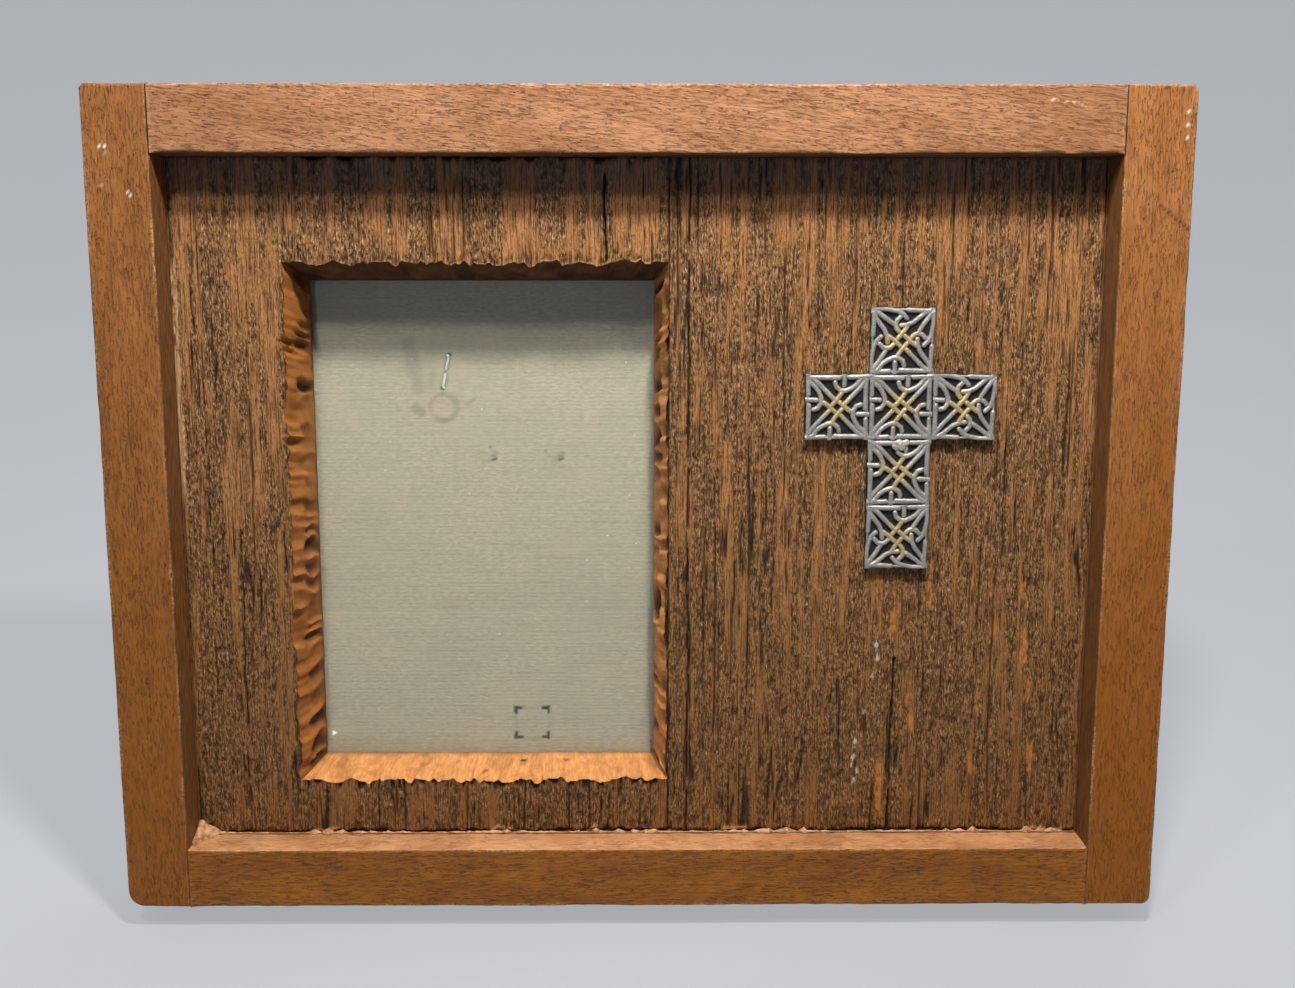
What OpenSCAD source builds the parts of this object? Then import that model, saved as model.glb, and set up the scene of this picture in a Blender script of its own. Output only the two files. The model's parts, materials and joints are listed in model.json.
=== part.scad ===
/* [Frame] */
// Overall width of the wooden frame
frame_w = 350; // [300:1:400]
// Overall height of the wooden frame
frame_h = 273; // [255:1:320]
// Face width of the left stile
left_stile_w = 21; // [17:0.5:26]
// Face width of the right stile
right_stile_w = 22.5; // [17:0.5:27]
// Face height of the top rail
top_rail_h = 21.5; // [17:0.5:26]
// Face height of the bottom rail
bottom_rail_h = 20.5; // [17:0.5:26]
// How far the panel lies behind the front of the strips
recess = 15; // [8:0.5:20]
// Radius of the three crisp outer corners
corner_r = 2; // [1:0.5:4]
// Radius of the worn lower left corner
worn_corner_r = 5.5; // [3:0.5:8]

/* [Panel] */
// Thickness of the two boards
panel_t = 27; // [22:0.5:32]
// Width of the wood left between the window and the board joint
joint_strip_w = 4.4; // [3:0.1:6]
// Width of the chiselled slope on each side of the window, seen from the front
bevel_w = 4.5; // [3:0.5:7]
// Width of the chiselled slope above the window
head_bevel_w = 6.4; // [3:0.1:9]
// Width of the chiselled slope below the window
sill_bevel_w = 2.2; // [1:0.1:6]
// Distance from the left stile to the window
window_from_stile = 40.6; // [30:0.1:60]
// Distance from the bottom rail to the window
window_from_rail = 21.5; // [20:0.1:40]
// Height and depth of the glue bead along the bottom of the panel
bead_size = 1.8; // [1:0.1:3]
// How far the bead stops short of each stile
bead_end_gap = 4; // [2:0.5:10]

/* [Glazing] */
// Width of the glass and the backing
glass_w = 127; // [120:1:134]
// Height of the glass and the backing
glass_h = 178; // [170:1:186]
// Thickness of the glass
glass_t = 2; // [1.5:0.1:3]
// Room left in the rebate on each side of the glass
glass_slack = 0.3; // [0.2:0.1:1]
// How far the window's edge laps over the glass
sight_lip = 4.3; // [3:0.1:6]
// Thickness of the ribbed paper on the backing
paper_t = 0.4; // [0.3:0.1:0.8]
// Thickness of the backing board
backing_t = 2.4; // [2:0.1:4]
// How far the backing lies below the back of the panel
backing_sunk = 0.2; // [0.1:0.1:1]

/* [Nails] */
// Radius of the nails
nail_r = 1; // [0.8:0.1:1.4]
// Radius of the nail heads
nail_head_r = 2; // [1.8:0.1:2.6]
// Thickness of the nail heads
nail_head_t = 0.8; // [0.5:0.1:1.2]
// How far a nail reaches past the strip that it goes through
nail_reach = 15; // [8:0.5:16]
// Distance of the outer panel nails from the stiles
nail_from_stile = 19; // [12:0.5:24]
// Distance of the middle panel nails from the board joint
nail_from_joint = 32; // [25:0.5:45]
// Distance of each corner nail from the front and back of a strip
nail_inset = 8; // [6:0.5:10]
// Clearance round a driven nail, pin, rivet, prong or screw
driven_fit = 0.02; // [0.01:0.01:0.05]

/* [Cross] */
// Width of one tile of the cross
tile_w = 21.1; // [18:0.1:24]
// Height of one tile of the cross
tile_h = 21.9; // [18:0.1:24]
// Thickness of the plate under the interlace
cross_plate_t = 1.8; // [1.2:0.1:3]
// Height of the raised interlace
strand_h = 1.2; // [0.6:0.1:2]
// Width of a strand of the interlace
strand_w = 1.5; // [1:0.1:1.9]
// Half the groove between two tiles
tile_gap = 0.3; // [0.1:0.1:0.5]
// Distance from the right stile to the middle of the upright
cross_from_stile = 66.1; // [50:0.1:80]
// Distance from the top rail to the top of the cross
cross_from_rail = 48.4; // [30:0.1:70]
// Radius of the brad that holds the cross
brad_r = 0.8; // [0.6:0.1:1.2]
// Radius of the brad's flattened head
brad_head_r = 1.7; // [1.3:0.1:2.4]
// How far the brad reaches into the board
brad_reach = 8; // [5:0.5:9]

/* [Easel hinge] */
// Angle that the frame leans back
lean = 12; // [10:0.5:15]
// Angle between the frame's back and the open leg
leg_open = 22; // [16:0.5:26]
// How far the leg stands to the right of the window's middle
leg_offset = 14; // [0:0.5:25]
// Height of the hinge rivets above the bottom edge of the backing
rivet_height = 113.4; // [100:0.1:125]
// Distance between the two rivets of a leaf
rivet_spacing = 23.5; // [18:0.5:25]
// Width of the hinge
hinge_w = 33; // [30:0.5:40]
// Height of the fixed leaf above the pin
fixed_leaf_h = 14; // [12:0.5:18]
// Length of the moving leaf below the pin
moving_leaf_h = 15; // [12:0.5:20]
// Thickness of the hinge leaves
leaf_t = 0.8; // [0.6:0.1:1.2]
// Height of the fixed leaf's rivets above the pin
rivet_above_pin = 7.3; // [6:0.1:8]
// Radius of the hinge pin
pin_r = 1; // [0.8:0.1:1.3]
// Wall of the rolled knuckles
knuckle_wall = 0.6; // [0.5:0.1:1]
// Length of the two outer knuckles
outer_knuckle = 8; // [6:0.5:10]
// Clearance between the pin and the moving knuckle
pin_fit = 0.05; // [0.03:0.01:0.08]
// Gap between parts that slide past each other
side_gap = 0.2; // [0.15:0.05:0.3]
// Radius of the rivets
rivet_r = 1.2; // [1:0.1:1.6]
// Radius of the rivet heads
rivet_head_r = 2.4; // [2:0.1:3]
// Thickness of the rivet heads
rivet_head_t = 0.6; // [0.4:0.1:0.7]

/* [Easel leg] */
// Thickness of the leg
leg_t = 3; // [2:0.1:4]
// Width of the leg at the hinge
leg_top_w = 36; // [34:0.5:45]
// Width of the leg at its foot
leg_foot_w = 58; // [45:0.5:75]
// Distance from the pin to the top of the leg
leg_start = 2.6; // [2.4:0.1:4]
// Width of the ribbon
ribbon_w = 8; // [6:0.5:9]
// Thickness of the ribbon
ribbon_t = 0.45; // [0.3:0.05:0.6]
// Distance from the pin to the ribbon's staple, along the leg
ribbon_down_leg = 100; // [90:0.5:106]
// Length of the ribbon that lies flat on the leg
ribbon_tab = 10; // [8:0.5:12]
// Width of the plate that holds the ribbon to the backing
plate_w = 12.1; // [11.5:0.1:15]
// Height of the plate that holds the ribbon to the backing
plate_h = 10.8; // [9:0.1:12]
// Thickness of the plate that holds the ribbon to the backing
plate_t = 0.6; // [0.4:0.1:0.7]
// Height of the plate's middle above the bottom edge of the backing
plate_height = 15.2; // [12:0.1:22]
// Size of the plate's four square prongs
prong = 1; // [0.8:0.1:1.2]
// Thickness of staple wire
staple_wire = 0.6; // [0.4:0.1:0.7]
// Width of a staple's crown
staple_crown = 12.7; // [12:0.1:14]

/* [Hanger] */
// How far the hanger lies to the left of the window's middle
hanger_offset = 13.5; // [10:0.5:20]
// Height of the hanger's bar above the hinge rivets
hanger_rise = 20.3; // [20:0.1:26]
// Width of the hanger's tab
tab_w = 10; // [8:0.5:12]
// Height of the hanger's tab above the bar
tab_h = 15.5; // [15.5:0.5:17]
// Thickness of the hanger's tab
tab_t = 0.8; // [0.6:0.1:1]
// Radius of the ring's wire
ring_wire_r = 0.8; // [0.6:0.1:1]
// Width of the ring between the middles of its wires
ring_w = 20; // [16:0.5:24]
// Distance from the ring's bar to the start of its round end
ring_side_h = 9; // [6:0.5:12]
// Clearance between the ring's bar and the tab
ring_fit = 0.08; // [0.04:0.01:0.1]

/* [Turn buttons] */
// Length of a turn button
button_l = 22; // [19:0.5:26]
// Width of a turn button
button_w = 9; // [8:0.5:11]
// Thickness of a turn button
button_t = 1.2; // [0.8:0.1:2]
// Distance of a button's screw from the rebate
button_inset = 7.5; // [6:0.5:8.5]
// Distance of each button above or below the window's middle
button_rise = 44; // [30:1:60]
// Radius of the screws' shanks
screw_r = 1.6; // [1.3:0.1:2]
// Radius of the screws' heads
screw_head_r = 3.1; // [2.6:0.1:3.6]
// Height of the screws' heads
screw_head_t = 1.5; // [1:0.1:2]
// How far the screws reach into the boards
screw_reach = 8; // [6:0.5:9]
// Width of the slot in a screw's head
slot_w = 0.8; // [0.6:0.1:1]
// Clearance between a button and its screw
button_fit = 0.05; // [0.03:0.01:0.08]

/* [Hidden] */
$fn = 48;

// Cuts start this far outside the wood
over = 1;

// Places on the frame: x to the right, y from the front to the back, z up from the bottom edge
frame_t = recess + panel_t;
inner_left = -frame_w / 2 + left_stile_w;
inner_right = frame_w / 2 - right_stile_w;
inner_bottom = bottom_rail_h;
inner_top = frame_h - top_rail_h;
panel_mid_y = recess + panel_t / 2;

// The window, its rebate and what lies in it
window_w = glass_w - 2 * sight_lip;
window_h = glass_h - 2 * sight_lip;
window_left = inner_left + window_from_stile;
window_bottom = inner_bottom + window_from_rail;
window_x = window_left + window_w / 2;
window_z = window_bottom + window_h / 2;
joint_x = window_left + window_w + joint_strip_w;
rebate_w = glass_w + 2 * glass_slack;
rebate_h = glass_h + 2 * glass_slack;
rebate_d = glass_t + paper_t + backing_t + backing_sunk;
rebate_y = frame_t - rebate_d;
window_d = rebate_y - recess;
paper_y = rebate_y + glass_t;
backing_y = paper_y + paper_t;
backing_back = backing_y + backing_t;
backing_bottom = window_z - glass_h / 2;

// The cross
cross_x = inner_right - cross_from_stile;
cross_top = inner_top - cross_from_rail;
cross_tiles = [[0, 0], [-1, 1], [0, 1], [1, 1], [0, 2], [0, 3]];
cross_t = cross_plate_t + strand_h;
brad_z = cross_top - 2 * tile_h - 1.5;

// The hinge and the leg, with the leg's own z running down from the pin when it is folded
leg_x = window_x + leg_offset;
knuckle_r = pin_r + pin_fit + knuckle_wall;
pin_y = backing_back + side_gap + knuckle_r;
rivet_z = backing_bottom + rivet_height;
pin_z = rivet_z - rivet_above_pin;
middle_knuckle = hinge_w - 2 * (outer_knuckle + side_gap);
moving_leaf_w = hinge_w - 4;
leg_tilt = leg_open - lean;
pin_above_floor = pin_z * cos(lean) - (pin_y - frame_t) * sin(lean);
leg_inner_y = leaf_t / 2;
leg_outer_y = leg_inner_y + leg_t;
strut_rivet_down = leg_start + (moving_leaf_h - leg_start) / 2;

// The ribbon runs from the plate on the backing to the staple on the leg
plate_z = backing_bottom + plate_height;
ribbon_lift = 0.03;
ribbon_bend = 1;
ribbon_under_leg = leg_inner_y - ribbon_lift;
ribbon_top_down = ribbon_down_leg - ribbon_tab / 2;
ribbon_end_down = ribbon_down_leg + ribbon_tab / 2;

// The hanger
hanger_x = window_x - hanger_offset;
bar_z = rivet_z + hanger_rise;
barrel_r = ring_wire_r + ring_fit + tab_t;
bar_y = backing_back + side_gap / 2 + barrel_r;
staple_z = bar_z + barrel_r + (tab_h - barrel_r) / 2;

// The turn buttons, numbered from the upper left, clockwise seen from the front
button_y = frame_t + side_gap;
screw_head_y = button_y + button_t + side_gap;
button_left = window_x - rebate_w / 2 - button_inset;
button_right = window_x + rebate_w / 2 + button_inset;
button_places = [[button_left, window_z + button_rise], [button_right, window_z + button_rise],
                 [button_right, window_z - button_rise], [button_left, window_z - button_rise]];

// The leaning frame stands with its box centred on the origin
front_y = -frame_t * cos(lean);
leg_back_y = (pin_y - frame_t) * cos(lean) + pin_z * sin(lean) + leg_outer_y * cos(leg_tilt)
             + (pin_above_floor + leg_outer_y * sin(leg_tilt)) * tan(leg_tilt);
rear_y = max(frame_h * sin(lean), leg_back_y);
stand_y = -(front_y + rear_y) / 2;

// Places a piece of the upright frame in the leaning one
module leaning() {
    translate([0, stand_y, 0]) rotate([-lean, 0, 0]) translate([0, -frame_t, 0]) children();
}

// Places a piece of the leg, drawn hanging straight down from the pin
module on_leg() {
    leaning() translate([leg_x, pin_y, pin_z]) rotate([leg_open, 0, 0]) children();
}

// A box from its lowest corner to its highest
module block(low, high) {
    translate(low) cube(high - low);
}

// A cylinder along x from x = 0
module rod_x(r, l) {
    rotate([0, 90, 0]) cylinder(r = r, h = l);
}

// A cylinder from the front towards the back
module rod_y(r, l) {
    rotate([-90, 0, 0]) cylinder(r = r, h = l);
}

// What rounds off an outer corner of the frame, with the corner towards -x and -z
module corner_cut(r) {
    translate([0, frame_t + over, 0]) rotate([90, 0, 0]) linear_extrude(frame_t + 2 * over)
        difference() {
            translate([-over, -over]) square(r + over);
            translate([r, r]) circle(r);
        }
}

// Nails, their heads flush with the outside, and the holes that they fill
corner_nail_y = [nail_inset, frame_t - nail_inset];
corner_nail_z = [bottom_rail_h / 2, frame_h - top_rail_h / 2];
panel_nail_x = [inner_left + nail_from_stile, joint_x + nail_from_joint, inner_right - nail_from_stile];

module nail(strip, fit) {
    cylinder(r = nail_r + fit, h = strip + nail_reach + fit);
    translate([0, 0, -fit]) cylinder(r = nail_head_r + fit, h = nail_head_t + fit);
}

module corner_nail_set(fit) {
    for (y = corner_nail_y, z = corner_nail_z) {
        translate([-frame_w / 2, y, z]) rotate([0, 90, 0]) nail(left_stile_w, fit);
        translate([frame_w / 2, y, z]) rotate([0, -90, 0]) nail(right_stile_w, fit);
    }
}

module panel_nail_set(fit) {
    for (x = panel_nail_x) {
        translate([x, panel_mid_y, 0]) nail(bottom_rail_h, fit);
        translate([x, panel_mid_y, frame_h]) rotate([180, 0, 0]) nail(top_rail_h, fit);
    }
}

module left_stile() {
    color("#97602f") leaning() difference() {
        block([-frame_w / 2, 0, 0], [inner_left, frame_t, frame_h]);
        translate([-frame_w / 2, 0, 0]) corner_cut(worn_corner_r);
        translate([-frame_w / 2, 0, frame_h]) mirror([0, 0, 1]) corner_cut(corner_r);
        corner_nail_set(driven_fit);
    }
}

module right_stile() {
    color("#a5662f") leaning() difference() {
        block([inner_right, 0, 0], [frame_w / 2, frame_t, frame_h]);
        translate([frame_w / 2, 0, 0]) mirror([1, 0, 0]) corner_cut(corner_r);
        translate([frame_w / 2, 0, frame_h]) mirror([0, 0, 1]) mirror([1, 0, 0]) corner_cut(corner_r);
        corner_nail_set(driven_fit);
    }
}

module top_rail() {
    color("#af7850") leaning() difference() {
        block([inner_left, 0, inner_top], [inner_right, frame_t, frame_h]);
        corner_nail_set(driven_fit);
        panel_nail_set(driven_fit);
    }
}

module bottom_rail() {
    color("#7d4b23") leaning() difference() {
        block([inner_left, 0, 0], [inner_right, frame_t, inner_bottom]);
        corner_nail_set(driven_fit);
        panel_nail_set(driven_fit);
    }
}

module corner_nails() {
    color("#8a8a88") leaning() corner_nail_set(0);
}

module panel_nails() {
    color("#8a8a88") leaning() panel_nail_set(0);
}

// The tapering hole of the window, wider at the front by its slopes, as two crossed wedges
module window_cut() {
    reach = 1 + over / window_d;
    side = bevel_w * reach;
    head = head_bevel_w * reach;
    sill = sill_bevel_w * reach;
    x0 = window_left;
    x1 = window_left + window_w;
    z0 = window_bottom;
    z1 = window_bottom + window_h;
    y0 = recess - over;
    y1 = rebate_y;
    intersection() {
        translate([0, 0, z0 - sill]) linear_extrude(window_h + sill + head)
            polygon([[x0 - side, y0], [x1 + side, y0], [x1, y1], [x0, y1]]);
        translate([x0 - side, 0, 0]) rotate([90, 0, 90]) linear_extrude(window_w + 2 * side)
            polygon([[y0, z0 - sill], [y0, z1 + head], [y1, z1], [y1, z0]]);
    }
}

// Everything that is cut out of the two boards
module board_cuts() {
    window_cut();
    block([window_x - rebate_w / 2, rebate_y, window_z - rebate_h / 2],
          [window_x + rebate_w / 2, frame_t + over, window_z + rebate_h / 2]);
    block([window_left, rebate_y - over, window_bottom],
          [window_left + window_w, rebate_y + over, window_bottom + window_h]);
    panel_nail_set(driven_fit);
    for (p = button_places) translate([p[0], frame_t - screw_reach - driven_fit, p[1]])
        rod_y(screw_r + driven_fit, screw_reach + over);
}

module left_board() {
    color("#7a5030") leaning() difference() {
        block([inner_left, recess, inner_bottom], [joint_x, frame_t, inner_top]);
        board_cuts();
    }
}

// The right board keeps its straight front edge beside the bevel
module right_board() {
    color("#8a5a34") leaning() difference() {
        block([joint_x, recess, inner_bottom], [inner_right, frame_t, inner_top]);
        block([window_x, rebate_y, window_z - rebate_h / 2],
              [window_x + rebate_w / 2, frame_t + over, window_z + rebate_h / 2]);
        panel_nail_set(driven_fit);
        for (p = button_places) translate([p[0], frame_t - screw_reach - driven_fit, p[1]])
            rod_y(screw_r + driven_fit, screw_reach + over);
        translate([cross_x, recess - over, brad_z])
            rod_y(brad_r + driven_fit, brad_reach + over + driven_fit);
    }
}

module glue_bead() {
    color("#c08455") leaning()
        translate([inner_left + bead_end_gap, recess, inner_bottom]) rotate([90, 0, 90])
            linear_extrude(inner_right - inner_left - 2 * bead_end_gap)
                polygon([[0, 0], [0, bead_size], [-bead_size, 0]]);
}

// One tile's interlace seen from the front: border, bands to the corners, arches and a woven middle
module tile_strands() {
    w = tile_w - 2 * tile_gap;
    h = tile_h - 2 * tile_gap;
    arch_r = w * 0.2;
    difference() {
        square([w, h], center = true);
        square([w - 2 * strand_w, h - 2 * strand_w], center = true);
    }
    for (a = [0 : 90 : 270]) rotate(a) {
        rotate(45) translate([w * 0.2, -strand_w / 2]) square([w * 0.44, strand_w]);
        translate([w / 2 - strand_w / 2, 0]) intersection() {
            difference() {
                circle(arch_r + strand_w / 2);
                circle(arch_r - strand_w / 2);
            }
            translate([-w / 2, -w / 2]) square([w / 2, w]);
        }
        rotate(45) translate([-w * 0.14, w * 0.07]) square([w * 0.28, strand_w * 0.8]);
    }
}

module cross_casting() {
    color("#a8a6a0") leaning() difference() {
        for (t = cross_tiles) translate([cross_x + t[0] * tile_w, recess, cross_top - (t[1] + 0.5) * tile_h]) {
            rotate([90, 0, 0]) linear_extrude(cross_plate_t) square([tile_w, tile_h], center = true);
            translate([0, -cross_plate_t, 0]) rotate([90, 0, 0]) linear_extrude(strand_h) tile_strands();
        }
        translate([cross_x, recess - cross_t - over, brad_z]) rod_y(brad_r + driven_fit, cross_t + 2 * over);
    }
}

module cross_pin() {
    head_t = 0.7;
    color("#b9b6ae") leaning() translate([cross_x, recess - cross_t, brad_z]) {
        rod_y(brad_r, cross_t + brad_reach);
        translate([0, -head_t, 0]) rod_y(brad_head_r, head_t);
    }
}

// A pane as large as the glass, between two depths
module sheet(y0, y1) {
    block([window_x - glass_w / 2, y0, window_z - glass_h / 2],
          [window_x + glass_w / 2, y1, window_z + glass_h / 2]);
}

module glass_pane() {
    color("#b7c6c2", 0.4) leaning() sheet(rebate_y, paper_y);
}

// The four prongs of the ribbon's plate, or the holes that they pass through
module prongs(fit) {
    half = prong / 2 + fit;
    for (sx = [-1, 1], sz = [-1, 1])
        translate([leg_x + sx * (plate_w - prong) / 2, 0, plate_z + sz * (plate_h - prong) / 2])
            block([-half, paper_y, -half], [half, backing_back + ribbon_t + 2 * ribbon_lift + plate_t / 2, half]);
}

// The legs of the hanger's staple, or their holes, with the crown upright as the photo shows it
module hanger_staple_legs(fit) {
    half = staple_wire / 2 + fit;
    for (sz = [-1, 1])
        translate([hanger_x, 0, staple_z + sz * (staple_crown - staple_wire) / 2])
            block([-half, paper_y, -half], [half, backing_back + tab_t + staple_wire / 2, half]);
}

// The hinge rivets' shanks, or their holes
module hinge_rivet_shanks(fit) {
    for (sx = [-1, 1])
        translate([leg_x + sx * rivet_spacing / 2, paper_y, rivet_z])
            rod_y(rivet_r + fit, backing_back + leaf_t - paper_y);
}

module backing_holes() {
    prongs(driven_fit);
    hanger_staple_legs(driven_fit);
    hinge_rivet_shanks(driven_fit);
}

module backing_paper() {
    color("#a9a592") leaning() difference() {
        sheet(paper_y, backing_y);
        backing_holes();
    }
}

module backing_board() {
    color("#6e665a") leaning() difference() {
        sheet(backing_y, backing_back);
        backing_holes();
    }
}

module hinge_fixed_leaf() {
    color("#b49a5a") leaning() difference() {
        translate([leg_x, 0, pin_z]) {
            block([-hinge_w / 2, backing_back, knuckle_r + side_gap],
                  [hinge_w / 2, backing_back + leaf_t, fixed_leaf_h]);
            for (x = [-hinge_w / 2, hinge_w / 2 - outer_knuckle]) translate([x, 0, 0]) {
                block([0, backing_back, 0], [outer_knuckle, backing_back + leaf_t, knuckle_r + 2 * side_gap]);
                translate([0, pin_y, 0]) rod_x(knuckle_r, outer_knuckle);
            }
        }
        translate([leg_x - hinge_w / 2 - over, pin_y, pin_z]) rod_x(pin_r + driven_fit, hinge_w + 2 * over);
        hinge_rivet_shanks(driven_fit);
    }
}

module hinge_rivets() {
    color("#c9b070") leaning() {
        hinge_rivet_shanks(0);
        for (sx = [-1, 1])
            translate([leg_x + sx * rivet_spacing / 2, backing_back + leaf_t, rivet_z])
                rod_y(rivet_head_r, rivet_head_t);
    }
}

module hinge_pin() {
    color("#8f8f8f") leaning() translate([leg_x - hinge_w / 2, pin_y, pin_z]) rod_x(pin_r, hinge_w);
}

// The strut's rivets pass through the moving leaf and the leg
module strut_rivet_shanks(fit) {
    for (sx = [-1, 1])
        translate([sx * rivet_spacing / 2, -leaf_t / 2, -strut_rivet_down])
            rod_y(rivet_r + fit, leaf_t + leg_t);
}

module hinge_moving_leaf() {
    color("#b49a5a") on_leg() difference() {
        union() {
            translate([-middle_knuckle / 2, 0, 0]) rod_x(knuckle_r, middle_knuckle);
            block([-middle_knuckle / 2, -leaf_t / 2, -leg_start], [middle_knuckle / 2, leaf_t / 2, -pin_r]);
            block([-moving_leaf_w / 2, -leaf_t / 2, -moving_leaf_h], [moving_leaf_w / 2, leaf_t / 2, -leg_start]);
        }
        translate([-hinge_w / 2, 0, 0]) rod_x(pin_r + pin_fit, hinge_w);
        strut_rivet_shanks(driven_fit);
    }
}

module strut_rivets() {
    color("#c9b070") on_leg() {
        strut_rivet_shanks(0);
        for (sx = [-1, 1]) translate([sx * rivet_spacing / 2, 0, -strut_rivet_down]) {
            translate([0, -leaf_t / 2 - rivet_head_t, 0]) rod_y(rivet_head_r, rivet_head_t);
            translate([0, leg_outer_y, 0]) rod_y(rivet_head_r, rivet_head_t);
        }
    }
}

// The legs of the ribbon's staple go through the ribbon and the leg
module ribbon_staple_legs(fit) {
    half = staple_wire / 2 + fit;
    for (sx = [-1, 1]) translate([sx * (ribbon_w / 2 - staple_wire), 0, -ribbon_down_leg])
        block([-half, ribbon_under_leg - ribbon_t - staple_wire / 2, -half], [half, leg_outer_y + fit, half]);
}

// The leg widens towards its foot, which is cut to stand flat on the floor
module easel_strut() {
    foot_inner = (pin_above_floor + leg_inner_y * sin(leg_tilt)) / cos(leg_tilt);
    foot_outer = (pin_above_floor + leg_outer_y * sin(leg_tilt)) / cos(leg_tilt);
    color("#3b3732") on_leg() difference() {
        intersection() {
            translate([-leg_foot_w / 2 - over, 0, 0]) rotate([90, 0, 90]) linear_extrude(leg_foot_w + 2 * over)
                polygon([[leg_inner_y, -leg_start], [leg_outer_y, -leg_start],
                         [leg_outer_y, -foot_outer], [leg_inner_y, -foot_inner]]);
            translate([0, leg_outer_y + over, 0]) rotate([90, 0, 0]) linear_extrude(leg_t + 3 * over)
                polygon([[-leg_top_w / 2, 0], [leg_top_w / 2, 0],
                         [leg_foot_w / 2, -foot_outer], [-leg_foot_w / 2, -foot_outer]]);
        }
        strut_rivet_shanks(driven_fit);
        ribbon_staple_legs(driven_fit);
    }
}

module ribbon_plate() {
    color("#4a4843") leaning() {
        prongs(0);
        block([leg_x - plate_w / 2, backing_back + ribbon_t + 2 * ribbon_lift, plate_z - plate_h / 2],
              [leg_x + plate_w / 2, backing_back + ribbon_t + 2 * ribbon_lift + plate_t, plate_z + plate_h / 2]);
    }
}

module ribbon_staple() {
    top = ribbon_under_leg - ribbon_t - ribbon_lift;
    half = staple_wire / 2;
    color("#9a9a98") on_leg() {
        ribbon_staple_legs(0);
        translate([0, 0, -ribbon_down_leg])
            block([-ribbon_w / 2 + half, top - staple_wire, -half], [ribbon_w / 2 - half, top, half]);
    }
}

// A point of the leg, at a depth and a distance from the pin, in the upright frame's y and z
function leg_point(y, down) = [pin_y + y * cos(leg_open) + down * sin(leg_open),
                               pin_z + y * sin(leg_open) - down * cos(leg_open)];

// The ribbon lies under its plate, runs taut to the leg and lies along it under the staple
module stay_ribbon() {
    under_plate = backing_back + ribbon_lift;
    plate_top = plate_z + plate_h / 2;
    plate_bottom = plate_z - plate_h / 2 - ribbon_bend - ribbon_t;
    color("#2c2a28") difference() {
        leaning() translate([leg_x - ribbon_w / 2, 0, 0]) rotate([90, 0, 90]) linear_extrude(ribbon_w)
            polygon([[under_plate, plate_top], [under_plate, plate_bottom],
                     leg_point(ribbon_under_leg - ribbon_t, ribbon_top_down + ribbon_t),
                     leg_point(ribbon_under_leg - ribbon_t, ribbon_end_down),
                     leg_point(ribbon_under_leg, ribbon_end_down),
                     leg_point(ribbon_under_leg, ribbon_top_down),
                     [under_plate + ribbon_t, plate_bottom + ribbon_t],
                     [under_plate + ribbon_t, plate_top]]);
        on_leg() ribbon_staple_legs(driven_fit);
    }
}

module hanger_strap() {
    color("#a9a7a0") leaning() difference() {
        translate([hanger_x - tab_w / 2, 0, bar_z]) {
            block([0, backing_back, 0], [tab_w, backing_back + tab_t, tab_h]);
            translate([0, bar_y, 0]) rod_x(barrel_r, tab_w);
        }
        translate([hanger_x - tab_w / 2 - over, bar_y, bar_z]) rod_x(ring_wire_r + ring_fit, tab_w + 2 * over);
        hanger_staple_legs(driven_fit);
    }
}

module hanger_staple() {
    half = staple_wire / 2;
    top = backing_back + tab_t;
    color("#9a9a98") leaning() {
        hanger_staple_legs(0);
        translate([hanger_x, 0, staple_z])
            block([-half, top, -staple_crown / 2], [half, top + staple_wire, staple_crown / 2]);
    }
}

// The ring hangs plumb: a straight bar, two sides and a half-round end
module hanger_ring() {
    color("#b8b6b0") leaning() translate([hanger_x, bar_y, bar_z]) rotate([lean, 0, 0]) {
        translate([-ring_w / 2, 0, 0]) rod_x(ring_wire_r, ring_w);
        for (sx = [-1, 1]) translate([sx * ring_w / 2, 0, 0]) {
            sphere(r = ring_wire_r);
            translate([0, 0, -ring_side_h]) cylinder(r = ring_wire_r, h = ring_side_h);
        }
        translate([0, 0, -ring_side_h]) rotate([-90, 0, 0]) rotate_extrude(angle = 180)
            translate([ring_w / 2, 0]) circle(r = ring_wire_r);
    }
}

// An oval plate with a hole in its middle, its long way across the rebate's edge
module turn_button(place) {
    half = (button_l - button_w) / 2;
    color("#b08d4a") leaning() translate([place[0], button_y, place[1]]) difference() {
        union() {
            for (sx = [-1, 1]) translate([sx * half, 0, 0]) rod_y(button_w / 2, button_t);
            block([-half, 0, -button_w / 2], [half, button_t, button_w / 2]);
        }
        translate([0, -over, 0]) rod_y(screw_r + button_fit, button_t + 2 * over);
    }
}

module turn_button_1() turn_button(button_places[0]);
module turn_button_2() turn_button(button_places[1]);
module turn_button_3() turn_button(button_places[2]);
module turn_button_4() turn_button(button_places[3]);

module button_screws() {
    color("#c8b878") leaning() for (p = button_places) translate([p[0], 0, p[1]]) difference() {
        union() {
            translate([0, frame_t - screw_reach, 0]) rod_y(screw_r, screw_head_y - frame_t + screw_reach + slot_w);
            translate([0, screw_head_y, 0]) rod_y(screw_head_r, screw_head_t);
        }
        translate([-screw_head_r - over, screw_head_y + screw_head_t / 2, -slot_w / 2])
            cube([2 * (screw_head_r + over), screw_head_t, slot_w]);
    }
}

left_stile();
right_stile();
top_rail();
bottom_rail();
corner_nails();
panel_nails();
left_board();
right_board();
glue_bead();
cross_casting();
cross_pin();
glass_pane();
backing_paper();
backing_board();
hinge_fixed_leaf();
hinge_rivets();
hinge_pin();
hinge_moving_leaf();
strut_rivets();
easel_strut();
ribbon_plate();
ribbon_staple();
stay_ribbon();
hanger_strap();
hanger_staple();
hanger_ring();
turn_button_1();
turn_button_2();
turn_button_3();
turn_button_4();
button_screws();
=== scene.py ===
import functools
import itertools
import json
import math

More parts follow.
